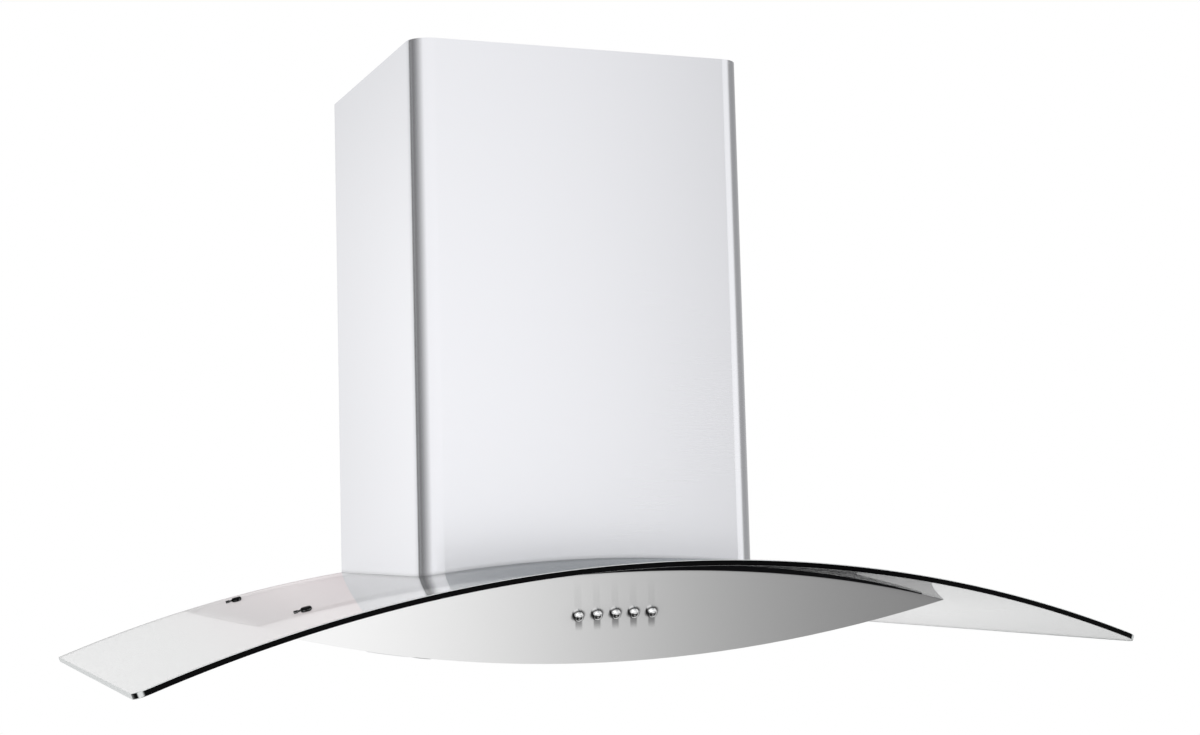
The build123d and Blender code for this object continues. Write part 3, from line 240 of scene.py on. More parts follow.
# The walls are brightest at the level of the chimney, dimmer below it and dimmest above it.
HEIGHT_STOPS = ((-0.16, grey(0.90)), (0.04, grey(0.98)), (0.13, grey(1.0)), (0.30, grey(0.72)))
SKY_LEVEL = 1.0
SKY_HEIGHT = (0.45, 0.80)        # the walls fade into the sky between these heights
GROUND_DEPTH = (0.30, 0.58)      # the walls fade into the ground between these depths
SHADE_LEVEL = 0.30               # of a dark place behind and below the hood, to the right
SHADE_SIDE = (0.12, 0.26)
SHADE_BACK = (0.0, 0.25)
SHADE_DEPTH = (0.25, 0.40)
SECOND_FRONT = (0.378, 0.401, 0.413)
SECOND_SPAN = (0.22, 0.30, 0.62, 0.70)     # radians to the right of straight ahead
SECOND_BOUNCE = 1.5              # a ray's glossy depth is over this in a second reflection
STUDIO_FILL = 0.60               # what matt surfaces receive

world = Finish(bpy.data.worlds.new("studio"))
ray = world.node("ShaderNodeTexCoord", {}, {}, "Generated")
sideways = ray.part(0)
height = ray.part(2)
heading = (sideways * -1).math("ARCTAN2", ray.part(1) * -1)
depth = height * -1
turn = heading / (2 * pi) + 0.5
walls = world.ramp(turn, [((angle + 180) / 360, color) for angle, color in WALL_STOPS])
ground = world.ramp(sideways * 0.5 + 0.5, [((x + 1) / 2, color) for x, color in GROUND_STOPS])
by_height = world.ramp(height + 0.5, [(z + 0.5, color) for z, color in HEIGHT_STOPS])
banded = world.mix(1.0, walls, by_height, "MULTIPLY")
low_walls = world.mix(depth.step(*GROUND_DEPTH), banded, ground)
shade = sideways.step(*SHADE_SIDE) * ray.part(1).step(*SHADE_BACK) * depth.step(*SHADE_DEPTH)
shaded = world.mix(shade, low_walls, (*grey(SHADE_LEVEL), 1))
around = world.mix(height.step(*SKY_HEIGHT), shaded, (*grey(SKY_LEVEL), 1))


def light_path(finish, name):
    """What kind of ray asks: one of the outputs of the Light Path node."""
    return finish.node("ShaderNodeLightPath", {}, {}, name)


# The wall in front of the hood, a little to its right, is dimmer in a second reflection, such as
# that of the chimney's front in the glass, as it is in the photograph.
second = light_path(world, "Glossy Depth").math("GREATER_THAN", SECOND_BOUNCE)
before_hood = (heading * -1).hump(*SECOND_SPAN)
around = world.mix(second * before_hood, around, (*SECOND_FRONT, 1))
lit = world.mix(light_path(world, "Is Glossy Ray"), (*grey(STUDIO_FILL), 1), around)
through = light_path(world, "Is Transmission Ray")
plain_white = light_path(world, "Is Camera Ray").math("MAXIMUM", through)
shown = world.mix(plain_white, lit, (1, 1, 1, 1))
bpy.context.scene.world = world.close(world.node("ShaderNodeBackground", {}, {"Color": shown}))

# The floor is matt and pale below the hood and fades into the white around it. It can't be
# seen from below.
FLOOR_Z = -0.70
FLOOR_HALF = 3.0
FLOOR_FADE = (0.9, 2.2)
FLOOR_PAINT = (0.84, 0.84, 0.84, 1)
FLOOR_GLOW = 0.27

corners = [(-1, -1), (1, -1), (1, 1), (-1, 1)]
floor_points = [(x * FLOOR_HALF, y * FLOOR_HALF, FLOOR_Z) for x, y in corners]
floor_mesh = bpy.data.meshes.new("studio_floor")
floor_mesh.from_pydata(floor_points, [], [(0, 1, 2, 3)])
studio_floor = bpy.data.objects.new("studio_floor", floor_mesh)
bpy.context.scene.collection.objects.link(studio_floor)
pale = Finish(bpy.data.materials.new("pale_floor"))
where = pale.node("ShaderNodeTexCoord", {}, {}, "Object")
paint = pale.node("ShaderNodeBsdfDiffuse", {}, {"Color": FLOOR_PAINT})
glow = pale.node("ShaderNodeEmission", {}, {"Strength": FLOOR_GLOW})
lit_floor = pale.node("ShaderNodeAddShader", {}, {0: paint, 1: glow})
white_floor = pale.node("ShaderNodeEmission", {}, {"Strength": 1.0})
open_floor = pale.mix_shader(where.flat_length().step(*FLOOR_FADE), lit_floor, white_floor)
clear_floor = pale.node("ShaderNodeBsdfTransparent", {}, {})
underneath = pale.node("ShaderNodeNewGeometry", {}, {}, "Backfacing")
floor_mesh.materials.append(pale.close(pale.mix_shader(underneath, open_floor, clear_floor)))
studio_floor.visible_glossy = False


def add_softbox(name, at, toward, size, power):
    """A square lamp that faces a point. It lights matt surfaces, and metal doesn't show it."""
    lamp = bpy.data.lights.new(name, "AREA")
    lamp.size = size
    lamp.energy = power
    softbox = bpy.data.objects.new(name, lamp)
    softbox.location = at
    softbox.rotation_euler = (Vector(toward) - Vector(at)).to_track_quat("-Z", "Y").to_euler()
    softbox.visible_glossy = False
    bpy.context.scene.collection.objects.link(softbox)


HOOD_MIDDLE = (0, -0.2, 0.1)
add_softbox("key_softbox", (-1.6, -2.2, 1.7), HOOD_MIDDLE, size=1.6, power=24)
add_softbox("top_softbox", (0.3, -0.8, 2.4), HOOD_MIDDLE, size=1.6, power=16)


# ---------------------------------------------------------------- chimney
# A cover folded from stainless sheet, brushed level, with wide round bends in front and narrow
# ones behind. A second chimney slides out of it.
def place(finish, scale=(1, 1, 1), shift=(0, 0, 0)):
    """Object coordinates, stretched along each axis."""
    where = finish.node("ShaderNodeTexCoord", {}, {}, "Object")
    values = {"Vector": where, "Scale": scale, "Location": shift}
    return finish.node("ShaderNodeMapping", {}, values)


def noise(finish, where, scale=1.0, detail=2.0, roughness=0.5):
    """Smooth noise from 0 to 1, about a half."""
    values = {"Vector": where, "Scale": scale, "Detail": detail, "Roughness": roughness}
    return finish.node("ShaderNodeTexNoise", {}, values)


def bump(finish, height, strength, distance):
    """A normal from a height."""
    values = {"Height": height, "Strength": strength, "Distance": distance}
    return finish.node("ShaderNodeBump", {}, values)


def principled(finish, **values):
    """The surface shader. An underscore in a name stands for a space."""
    named = {name.replace("_", " "): value for name, value in values.items()}
    return finish.node("ShaderNodeBsdfPrincipled", {}, named)


def open_space(finish, reach):
    """Ambient occlusion: 1 where nothing is within reach, and less in a corner."""
    return finish.node("ShaderNodeAmbientOcclusion", {"samples": 8}, {"Distance": reach}, "AO")


def dress(material, *names):
    """Gives CAD nodes their finish."""
    for name in names:
        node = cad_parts[name]
        if not node.material_slots:
            node.data.materials.append(material)
        for slot in node.material_slots:
            slot.material = material


WIDE_SCALE = 0.06                # of the wide streaks, against the fine scratches
WIDE_SHIFT = (3.1, 1.7, 5.3)
FINE_PART = 0.6
WIDE_PART = 0.4
# Painted shade: ambient occlusion darkens the colour close to what touches the sheet.
PAINTED_SHADE_PART = 0.6                # what a closed corner takes from the colour
PAINTED_SHADE_CURVE = 0.9
FINE_ROUGH = 0.012
CLOUD_ROUGH = 0.02


def brushed_steel(name, scratches, across, color, roughness, streak, shadow_reach, extra=None):
    """Brushed stainless sheet. scratches is how many there are per metre along each axis.

    The light spreads square to the scratches: the grain lies along the cross product of the
    surface normal and the across axis. Close to what touches the sheet the colour is darker,
    as painted shade from ambient occlusion. extra is a function that gives one more factor of
    the tone.
    """
    finish = Finish(bpy.data.materials.new(name))
    fine = noise(finish, place(finish, scratches), 1.0, 3.0, 0.6)
    wide = noise(finish, place(finish, [s * WIDE_SCALE for s in scratches], WIDE_SHIFT), 1.0, 2.0)
    cloud = noise(finish, place(finish), 3.0, 1.0)
    tone = 1 - (fine * FINE_PART + wide * WIDE_PART) * streak
    # Painted shade in the colour, darker in corners and close to what touches the sheet.
    painted_corner_shade = open_space(finish, shadow_reach).math("POWER", PAINTED_SHADE_CURVE)
    tone = tone * (painted_corner_shade * PAINTED_SHADE_PART + (1 - PAINTED_SHADE_PART))
    if extra:
        tone = tone * extra(finish)
    shade = finish.mix(1.0, (*color, 1), tone, "MULTIPLY")
    middle = roughness - (FINE_ROUGH + CLOUD_ROUGH) / 2
    rough = fine * FINE_ROUGH + cloud * CLOUD_ROUGH + middle
    facing = finish.node("ShaderNodeNewGeometry", {}, {}, "Normal")
    grain = finish.vector("CROSS_PRODUCT", facing, across)
    shader = principled(
        finish,
        Base_Color=shade,
        Metallic=1.0,
        Roughness=rough,
        Anisotropic=0.8,
        Anisotropic_Rotation=0.25,
        Tangent=grain,
        Normal=bump(finish, fine, 0.05, 0.000001),
    )
    return finish.close(shader)


chimney_steel = brushed_steel(
    "chimney_steel",
    scratches=(15, 15, 1300),
    across=(0, 0, 1),
    color=(0.895, 0.899, 0.933),
    roughness=0.27,
    streak=0.012,
    shadow_reach=0.004,
)
dress(chimney_steel, "chimney_cover", "upper_chimney")


# ---------------------------------------------------------------- fascia
# A lens-shaped front plate of the same sheet, brushed level and leaning back towards its lower
# edge, so that it shows the ground in front of the hood.
FASCIA_UP = np.array((0, -0.642788, 0.766044))
FASCIA_OUT = np.array((0, -0.766044, -0.642788))
FASCIA_FACE = 0.311835           # distance of its outer face from the origin, along FASCIA_OUT
BUTTON_PITCH = 0.0175
BUTTON_ROW = (-0.012, -0.3676, -0.0471)    # middle of the row, on the fascia's outer face
ROW_END = (2.40, 2.60)           # in pitches from the middle button
# Painted shade round each button, and the smear: a painted reflection of each button, a dark
# streak below it and a faint one above, as its image is spread square to the scratches.
PAINTED_CONTACT_REACH = 0.0026
PAINTED_CONTACT_CURVE = 3.0
PAINTED_STREAK_LEAN = 0.26                # sideways for each unit of height
PAINTED_STREAK_SIDE = (0.0022, 0.0042)    # half its width, where it starts to fade and where it ends
PAINTED_STREAK_BELOW = (0.0, 0.004, 0.009, 0.021)   # where it starts, is full, starts to fade and ends
PAINTED_STREAK_ABOVE = (0.0, 0.006, 0.014, 0.045)
PAINTED_BELOW_DEPTH = 0.56               # what the smear takes from the colour
PAINTED_ABOVE_DEPTH = 0.06


def painted_button_shade(finish):
    """Shade close round each button, and the smear of its image square to the scratches.

    All of it is painted into the colour: the shade is painted shade, and the smear is a painted
    reflection, a streak of a button's width, strong below it and faint above. The distance to
    the nearest button runs along x, and the height along the slope of the fascia.
    """
    # Painted shade close round each button, from ambient occlusion.
    painted_contact_shade = open_space(finish, PAINTED_CONTACT_REACH).math("POWER", PAINTED_CONTACT_CURVE)
    where = finish.node("ShaderNodeTexCoord", {}, {}, "Object")
    from_row = finish.vector("SUBTRACT", where, BUTTON_ROW)
    rise = finish.vector("DOT_PRODUCT", from_row, FASCIA_UP, output="Value")
    along = (from_row.part(0) + rise * PAINTED_STREAK_LEAN) / BUTTON_PITCH
    aside = (along - along.math("ROUND")).math("ABSOLUTE") * BUTTON_PITCH
    in_row = 1 - along.math("ABSOLUTE").step(*ROW_END)
    # Painted reflection: the streak of each button's image, below and above it.
    streak = (1 - aside.step(*PAINTED_STREAK_SIDE)) * in_row
    below = (rise * -1).hump(*PAINTED_STREAK_BELOW) * PAINTED_BELOW_DEPTH
    above = rise.hump(*PAINTED_STREAK_ABOVE) * PAINTED_ABOVE_DEPTH
    return painted_contact_shade * (1 - streak * (below + above))


# The fascia's colour carries the painted shade and the painted reflection round its buttons.
fascia_steel = brushed_steel(
    "fascia_steel",
    scratches=(4, 40, 2200),
    across=(0, 0, 1),
    color=(0.90, 0.90, 0.90),
    roughness=0.20,
    streak=0.016,
    shadow_reach=0.014,
    extra=painted_button_shade,
)
dress(fascia_steel, "fascia_panel")


# ---------------------------------------------------------------- glass canopy
# One sheet of toughened glass, 5 mm thick, bent to an arc across its width. Its rim is ground
# with narrow chamfers. The front of the rim is painted black as painted shade, since no light
# comes through it, and each front corner has a painted black tip with a light gap beside it as
# a painted highlight.
GLASS_R = 1.25
GLASS_T = 0.005
GLASS_HALF = 0.45
GLASS_FRONT = -0.5
GLASS_REAR = -0.002
GLASS_CORNER = 0.014
GLASS_CHAMFER = 0.0006
CUT_HALF = 0.143
CUT_FRONT = -0.269
HOLE_X = 0.285
HOLE_Y = (-0.050, -0.3484)
HOLE_R = 0.005
HOLE_BLOCK = 0.012               # half of the square of the grid that each hole is fitted in
HOLE_CELLS = 5                   # cells from the centre of that square to its side
HOLE_INNER = 0.4                 # share of the square that becomes the hole
CELLS_ACROSS = (15, 13, 2 * HOLE_CELLS, 14, 7)
CELLS_DEEP = (7, 7, 2 * HOLE_CELLS, 4, 11, 2 * HOLE_CELLS, 2)
RIM_SIDE = (0.84, 0.90)          # vertical part of the normal, from the rim to the pane
STEEP_SIDE = (0.30, 0.45)        # and from the steep middle of the rim to its chamfers
# The front of the rim and a tip at each front corner are painted black, as painted shade; the
# light gap left between them on a corner is a painted highlight.
FRONT_TILT = 0.4
FRONT_SIDE = (0.93, 0.98)        # the normal's part towards the room, on the front of the rim
CORNER_SIDE = (0.15, 0.25, 0.66, 0.74)     # and on its two front corners
CHAMFER_ANGLE = 0.7              # radians between two faces, from which their edge gets one


def grid_lines(stops, steps):
    """Every stop, and equal steps between one stop and the next."""
    runs = [np.linspace(a, b, n + 1)[:-1] for a, b, n in zip(stops[:-1], stops[1:], steps)]
    return np.concatenate(runs + [stops[-1:]])


def add_piece(name, points, faces, material, body, slot, *replaced):
    """Puts a surface into the scene, lets it ride on a body and hides the nodes it stands for."""
    mesh = bpy.data.meshes.new(name)
    mesh.from_pydata(points.tolist(), [], faces)
    mesh.polygons.foreach_set("use_smooth", np.ones(len(mesh.polygons), dtype=bool))
    mesh.materials.append(material)
    piece = bpy.data.objects.new(name, mesh)
    bpy.context.scene.collection.objects.link(piece)
    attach(piece, body)
    if replaced:
        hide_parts(*replaced)
    return piece


def canopy_surface():
    """Upper face of the glass: z is the height of a cylinder of radius R over each (x, y).

    The grid is square except in two kinds of place. In a front corner, a point (u, v) of the
    unit square moves to (u, v) max(u, v) / length(u, v), which turns the square's outer sides
    into a quarter circle. Round a hole, points slide from a circle at the inner square to the
    unchanged outer square.
    """
    bend = GLASS_HALF - GLASS_CORNER
    stops = [0, CUT_HALF, HOLE_X - HOLE_BLOCK, HOLE_X + HOLE_BLOCK, bend, GLASS_HALF]
    half = grid_lines(np.array(stops), CELLS_ACROSS)
    xs = np.concatenate([-half[:0:-1], half])
    bend_y = GLASS_FRONT + GLASS_CORNER
    stops = [GLASS_FRONT, bend_y, HOLE_Y[1] - HOLE_BLOCK, HOLE_Y[1] + HOLE_BLOCK, CUT_FRONT]
    stops += [HOLE_Y[0] - HOLE_BLOCK, HOLE_Y[0] + HOLE_BLOCK, GLASS_REAR]
    ys = grid_lines(np.array(stops), CELLS_DEEP)
    x, y = np.meshgrid(xs, ys)

    u = np.maximum(np.abs(x) - bend, 0) / GLASS_CORNER
    v = np.maximum(bend_y - y, 0) / GLASS_CORNER
    longest = np.maximum(u, v)
    pull = np.where((u > 0) & (v > 0), longest / np.maximum(np.hypot(u, v), 1e-9), 1)
    round_x = np.where(u > 0, np.sign(x) * (bend + u * pull * GLASS_CORNER), x)
    round_y = np.where(v > 0, bend_y - v * pull * GLASS_CORNER, y)

    kept = np.ones((len(ys) - 1, len(xs) - 1), dtype=bool)
    middle_x = (xs[1:] + xs[:-1]) / 2
    middle_y = (ys[1:] + ys[:-1]) / 2
    kept &= ~((np.abs(middle_x)[None, :] < CUT_HALF) & (middle_y[:, None] > CUT_FRONT))
    for hole_y in HOLE_Y:
        u = (np.abs(x) - HOLE_X) / HOLE_BLOCK
        v = (y - hole_y) / HOLE_BLOCK
        longest = np.maximum(np.abs(u), np.abs(v))
        slide = (longest - HOLE_INNER) / (1 - HOLE_INNER)
        on_circle = HOLE_R / HOLE_BLOCK / np.maximum(np.hypot(u, v), 1e-9)
        factor = on_circle * (1 - slide) + slide
        near = (longest < 1) & (longest > HOLE_INNER - 1e-6)
        round_x = np.where(near, np.sign(x) * (HOLE_X + u * factor * HOLE_BLOCK), round_x)
        round_y = np.where(near, hole_y + v * factor * HOLE_BLOCK, round_y)
        cell_u = np.abs(np.abs(middle_x) - HOLE_X)[None, :]
        cell_v = np.abs(middle_y - hole_y)[:, None]
        kept &= ~(np.maximum(cell_u, cell_v) < HOLE_INNER * HOLE_BLOCK)

    z = np.sqrt(GLASS_R**2 - round_x**2) - GLASS_R
    points = np.stack([round_x, round_y, z], axis=-1).reshape(-1, 3)
    index = np.arange(x.size).reshape(x.shape)
    quads = np.stack([index[:-1, :-1], index[:-1, 1:], index[1:, 1:], index[1:, :-1]], axis=-1)
    used, quads = np.unique(quads[kept], return_inverse=True)
    return points[used], quads.reshape(-1, 4).tolist()


canopy_glass = Finish(bpy.data.materials.new("canopy_glass"))
facing = canopy_glass.node("ShaderNodeTexCoord", {}, {}, "Normal")
upright = facing.part(2)
toward_room = facing.part(1) * -1
painted_black_front = (toward_room - upright * FRONT_TILT).step(*FRONT_SIDE)
on_side = 1 - upright.math("ABSOLUTE").step(*STEEP_SIDE)
painted_black_corner = toward_room.hump(*CORNER_SIDE) * on_side
on_rim = 1 - upright.math("ABSOLUTE").step(*RIM_SIDE)
clear_pane = principled(
    canopy_glass,
    Base_Color=(0.87, 0.875, 0.875, 1),
    Roughness=0.0,
    IOR=1.5,
    Transmission_Weight=1.0,
)
rim_grain = noise(canopy_glass, place(canopy_glass), 60.0, 2.0)
ground_rim = principled(
    canopy_glass,
    Base_Color=(0.75, 0.77, 0.77, 1),
    Roughness=rim_grain * 0.1 + 0.5,
)
# Painted shade: the black of the rim's front and of its corner tips.
painted_dark_rim = principled(
    canopy_glass,
    Base_Color=(0.001, 0.001, 0.0012, 1),
    Roughness=rim_grain * 0.06 + 0.05,
    Specular_IOR_Level=0.04,
)
pane_and_rim = canopy_glass.mix_shader(on_rim, clear_pane, ground_rim)
whole_pane = canopy_glass.mix_shader(painted_black_front.math("MAXIMUM", painted_black_corner), pane_and_rim, painted_dark_rim)
pane = canopy_glass.close(whole_pane)
canopy = add_piece("canopy", *canopy_surface(), pane, "hood", "glass", "glass_canopy")
sheet = canopy.modifiers.new("thickness", "SOLIDIFY")
sheet.thickness = GLASS_T
sheet.offset = -1
chamfer = canopy.modifiers.new("chamfer", "BEVEL")
chamfer.width = GLASS_CHAMFER
chamfer.segments = 2
chamfer.limit_method = "ANGLE"
chamfer.angle_limit = CHAMFER_ANGLE
chamfer.harden_normals = True


# ---------------------------------------------------------------- glass fixings
# Four black screws with a nibbed washer on the glass, rubber bushes through it and nuts below.
# A rubber strip seals the glass to the fascia, and its lip laps over the fascia's top edge.
LOW_TONE = 0.88                  # darkest tone, as a share of the colour
GRAIN_ROUGH = 0.10


def moulded(name, color, roughness, grain=900.0, depth=0.00002, metallic=0.0, specular=0.5):
    """A fine even grain with a slight drift of tone, for rubber, plastics, paint and plating."""
    finish = Finish(bpy.data.materials.new(name))
    grains = noise(finish, place(finish), grain, 2.0)
    cloud = noise(finish, place(finish), 14.0, 2.0)
    low = tuple(c * LOW_TONE for c in color)
    shade = finish.mix(cloud, (*low, 1), (*color, 1))
    shader = principled(
        finish,
        Base_Color=shade,
        Metallic=metallic,
        Roughness=grains * GRAIN_ROUGH + (roughness - GRAIN_ROUGH / 2),
        Specular_IOR_Level=specular,
        Normal=bump(finish, grains, 0.4, depth),
    )
    return finish.close(shader)


black_rubber = moulded("black_rubber", (0.012, 0.012, 0.013), 0.55, specular=0.25)
black_paint = moulded("black_paint", (0.005, 0.005, 0.006), 0.34, specular=0.1)
lip_rubber = moulded("lip_rubber", (0.003, 0.003, 0.0035), 0.60, specular=0.04)
zinc_plate = moulded(
    "zinc_plate", (0.66, 0.66, 0.68), 0.26, grain=700.0, depth=0.00001, metallic=1.0
)
dress(black_rubber, "glass_seal", "glass_bushes", "motor_bushes")
dress(black_paint, "glass_caps", "glass_screws")
dress(zinc_plate, "glass_nuts", "motor_screws", "housing_screws", "damper_pin")

LIP_HALF = 0.30                  # half of its width
LIP_PROUD = 0.0005
LIP_STEPS = 120
LIP_GAP = 0.0001                 # below the glass
LIP_LAP = 0.0024                 # over the fascia's edge, at the middle
SEAL_DROP = 0.003                # from the glass to that edge, at the middle


def seal_lip_shape():
    """The seal's lip: a flat strip on the fascia's face, from the glass down over the top edge.

    At x the strip starts at the underside of the glass and hangs (drop + lap)(1 - (x / h)^2),
    where h is half the width of the fascia. It lies in the plane out . p = face.
    """
    x = np.linspace(-LIP_HALF, LIP_HALF, LIP_STEPS + 1)
    share = 1 - (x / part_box("fascia_panel")[1][0]) ** 2
    top = np.sqrt((GLASS_R - GLASS_T) ** 2 - x**2) - GLASS_R - LIP_GAP
    low = top - (SEAL_DROP + LIP_LAP) * share
    z = np.stack([low, low, top, top], axis=-1)
    face = FASCIA_FACE + np.array([0, LIP_PROUD, LIP_PROUD, 0])
    y = (face - z * FASCIA_OUT[2]) / FASCIA_OUT[1]
    points = np.stack([np.broadcast_to(x[:, None], z.shape), y, z], axis=-1)
    index = np.arange(z.size).reshape(z.shape)
    after = np.roll(index, -1, axis=1)
    sides = np.stack([index[:-1], index[1:], after[1:], after[:-1]], axis=-1).reshape(-1, 4)
    ends = [index[0].tolist(), index[-1, ::-1].tolist()]
    return points.reshape(-1, 3), sides.tolist() + ends


seal_lip = add_piece("seal_lip", *seal_lip_shape(), lip_rubber, "hood", "rubber")
lip_faces = seal_lip.data.polygons
lip_faces.foreach_set("use_smooth", np.zeros(len(lip_faces), dtype=bool))


# ---------------------------------------------------------------- push buttons
# Five turned and plated caps in a row: a domed middle, a groove, a bead and a rounded skirt that
# runs in a hole of the fascia. Each slides on its own axis, square to the fascia.
BUTTON_AT = np.array(            # where each axis meets the fascia's outer face
    [
        (-0.0470, -0.366889, -0.047888),
        (-0.0295, -0.367340, -0.047350),
        (-0.0120, -0.367585, -0.047058),
        (0.0055, -0.367623, -0.047012),
        (0.0230, -0.367455, -0.047213),
    ]
)
BUTTON_PROFILE = np.array(       # radius and height above that face, in millimetres
    [
        (0.60, 4.955),
        (1.20, 4.82),
        (1.80, 4.58),
        (2.30, 4.28),
        (2.65, 3.95),
        (2.80, 3.66),
        (3.00, 3.55),
        (3.20, 3.66),
        (3.42, 3.92),
        (3.70, 4.00),
        (4.00, 3.92),
        (4.35, 3.60),
        (4.62, 3.10),
        (4.80, 2.40),
        (4.80, -1.60),
        (4.70, -2.50),
    ]
) / 1000
BUTTON_TOP = 0.005
BUTTON_SEGMENTS = 64


def turned(profile, top, at, out, up, segments):
    """A profile of (radius, height) turned about the axis out, closed at both ends.

    Ring i, point j is at + r_i (cos a_j side + sin a_j up) + h_i out.
    """
    side = np.cross(up, out)
    angle = np.arange(segments) * (2 * pi / segments)
    spokes = np.cos(angle)[:, None] * side + np.sin(angle)[:, None] * up
    rings = profile[:, 0, None, None] * spokes + profile[:, 1, None, None] * out
    ends = np.array([top * out, profile[-1, 1] * out])
    points = np.concatenate([rings.reshape(-1, 3), ends]) + at
    index = np.arange(len(profile) * segments).reshape(len(profile), segments)
    after = np.roll(index, -1, axis=1)
    walls = np.stack([index[:-1], index[1:], after[1:], after[:-1]], axis=-1).reshape(-1, 4)
    crown = np.stack([np.full(segments, index.size), index[0], after[0]], axis=-1)
    foot = np.stack([np.full(segments, index.size + 1), after[-1], index[-1]], axis=-1)
    return points, walls.tolist() + crown.tolist() + foot.tolist()


# The slopes of a cap mirror the dark ground round it, and its upper side mirrors the sky. These
# are painted into its colour as painted reflection: the brightness of its rings is given by
# their radius, and its upper side is painted all bright. The surface carries its own
# coordinates.
CHROME = (0.95, 0.95, 0.955)
CHROME_GRAIN = 300.0
# Painted reflection: the brightness painted on each ring of a cap.
PAINTED_CAP_RINGS = (                    # millimetres from the axis, and brightness
    (0, 0.50),
    (0.9, 0.30),
    (1.4, 0.02),
    (2.8, 0.02),
    (3.1, 0.75),
    (3.45, 0.75),
    (3.7, 0.02),
    (4.8, 0.012),
)
CAP_SPAN = 5                     # millimetres from one end of that ramp to the other
# Painted highlight: the upper side of a cap is painted all bright.
PAINTED_BRIGHT_UPPER = (0.0012, 0.0028)     # height above the axis from which a cap is all bright
CAP_PLACE = "cap_place"

chrome = moulded("chrome_plate", CHROME, 0.08, grain=CHROME_GRAIN, depth=0.0, metallic=1.0)
cap_plate_painted_reflection = Finish(bpy.data.materials.new("cap_plate_painted_reflection"))
cap_place = cap_plate_painted_reflection.node("ShaderNodeAttribute", {"attribute_name": CAP_PLACE}, {}, "Vector")
painted_ring_stops = [(radius / CAP_SPAN, grey(level)) for radius, level in PAINTED_CAP_RINGS]
rings = cap_plate_painted_reflection.ramp(cap_place.flat_length() * (1000 / CAP_SPAN), painted_ring_stops)
painted_cap_color = cap_plate_painted_reflection.mix(cap_place.part(1).step(*PAINTED_BRIGHT_UPPER), rings, (*CHROME, 1))
cap_rough = noise(cap_plate_painted_reflection, place(cap_plate_painted_reflection), CHROME_GRAIN, 2.0) * 0.06 + 0.04
cap_shader = principled(cap_plate_painted_reflection, Base_Color=painted_cap_color, Metallic=1.0, Roughness=cap_rough)
cap_chrome = cap_plate_painted_reflection.close(cap_shader)
cap_axes = np.array((np.cross(FASCIA_UP, FASCIA_OUT), FASCIA_UP, FASCIA_OUT))
for number, at in enumerate(BUTTON_AT, 1):
    points, faces = turned(BUTTON_PROFILE, BUTTON_TOP, at, FASCIA_OUT, FASCIA_UP, BUTTON_SEGMENTS)
    name = f"button_{number}"
    cap = add_piece(f"cap_{number}", points, faces, cap_chrome, name, "chrome", name)
    carried = cap.data.attributes.new(CAP_PLACE, "FLOAT_VECTOR", "POINT")
    carried.data.foreach_set("vector", ((points - at) @ cap_axes.T).ravel())
switch_black = moulded("switch_black", (0.03, 0.03, 0.032), 0.42)
dress(switch_black, "switch_bank")


# ---------------------------------------------------------------- lower pan
# The curved under-side with a folded well round each filter, and the bent panel between it and
# the glass. All are stainless sheet, brushed from left to right.
pan_steel = brushed_steel(
    "pan_steel",
    scratches=(4, 1500, 40),
    across=(0, 1, 0),
    color=(0.84, 0.84, 0.85),
    roughness=0.26,
    streak=0.03,
    shadow_reach=0.010,
)
dress(pan_steel, "bottom_pan", "top_panel", "filter_well_right", "filter_well_left")


# ---------------------------------------------------------------- grease filters
# Two cassettes of expanded aluminium in a folded rim, which hang down from their rear edge. A
# black latch with a finger grip holds the front bar of each.
FILTER_TILT = 0.109203
FILTER_AT = np.array((0.134243, -0.146137, -0.078033))
NET_STRAND = 0.0011
NET_ROW = 0.0066
NET_LAYERS = (                   # level, step along a strand, and phase
    (0.0026, 0.0058, 0),
    (0.0035, 0.0063, 1),
    (0.0045, 0.0058, 1),
    (0.0054, 0.0066, 0),
)
NET_FIELDS = (                   # middle, length and width of each field
    ((0, 0.0083), 0.2276, 0.1774),
    ((0.0697, -0.0888), 0.0882, 0.0166),
    ((-0.0697, -0.0888), 0.0882, 0.0166),
)


def net_layer(length, width, level, step, phase):
    """Expanded metal: strands that zigzag along x, each the mirror of the next across its row.

    Strand k runs at y = row k + (-1)^k (row height / 2) (-1)^i over its points i, with a square
    section, so that neighbours meet at every second point.
    """
    count = round(length / step)
    rows = round(width / NET_ROW)
    row_height = width / rows
    i = np.arange(count + 1)
    k = np.arange(rows)[:, None]
    along = (i / count - 0.5) * length + 0 * k
    swing = np.where((i + k + phase) % 2 == 0, 1, -1) * (row_height - NET_STRAND) / 2
    across = (k - (rows - 1) / 2) * row_height + swing
    half = NET_STRAND / 2
    section = np.array([(-half, -half), (half, -half), (half, half), (-half, half)])
    side = across[..., None] + section[:, 0]
    points = np.stack(np.broadcast_arrays(along[..., None], side, level + section[:, 1]), axis=-1)
    index = np.arange(points.size // 3).reshape(rows, count + 1, 4)
    near = index[:, :-1]
    far = index[:, 1:]
    walls = np.stack([near, far, np.roll(far, -1, -1), np.roll(near, -1, -1)], axis=-1)
    starts = index[:, 0]
    ends = index[:, -1, ::-1]
    return points.reshape(-1, 3), np.concatenate([walls.reshape(-1, 4), starts, ends])


def on_filter(points, side):
    """From the filter's own axes to the hood's: tilted about y, moved, mirrored at the left."""
    x = points[:, 0] * cos(FILTER_TILT) - points[:, 2] * sin(FILTER_TILT)
    z = points[:, 0] * sin(FILTER_TILT) + points[:, 2] * cos(FILTER_TILT)
    moved = np.stack([x, points[:, 1], z], axis=-1) + FILTER_AT
    return moved * (side, 1, 1)


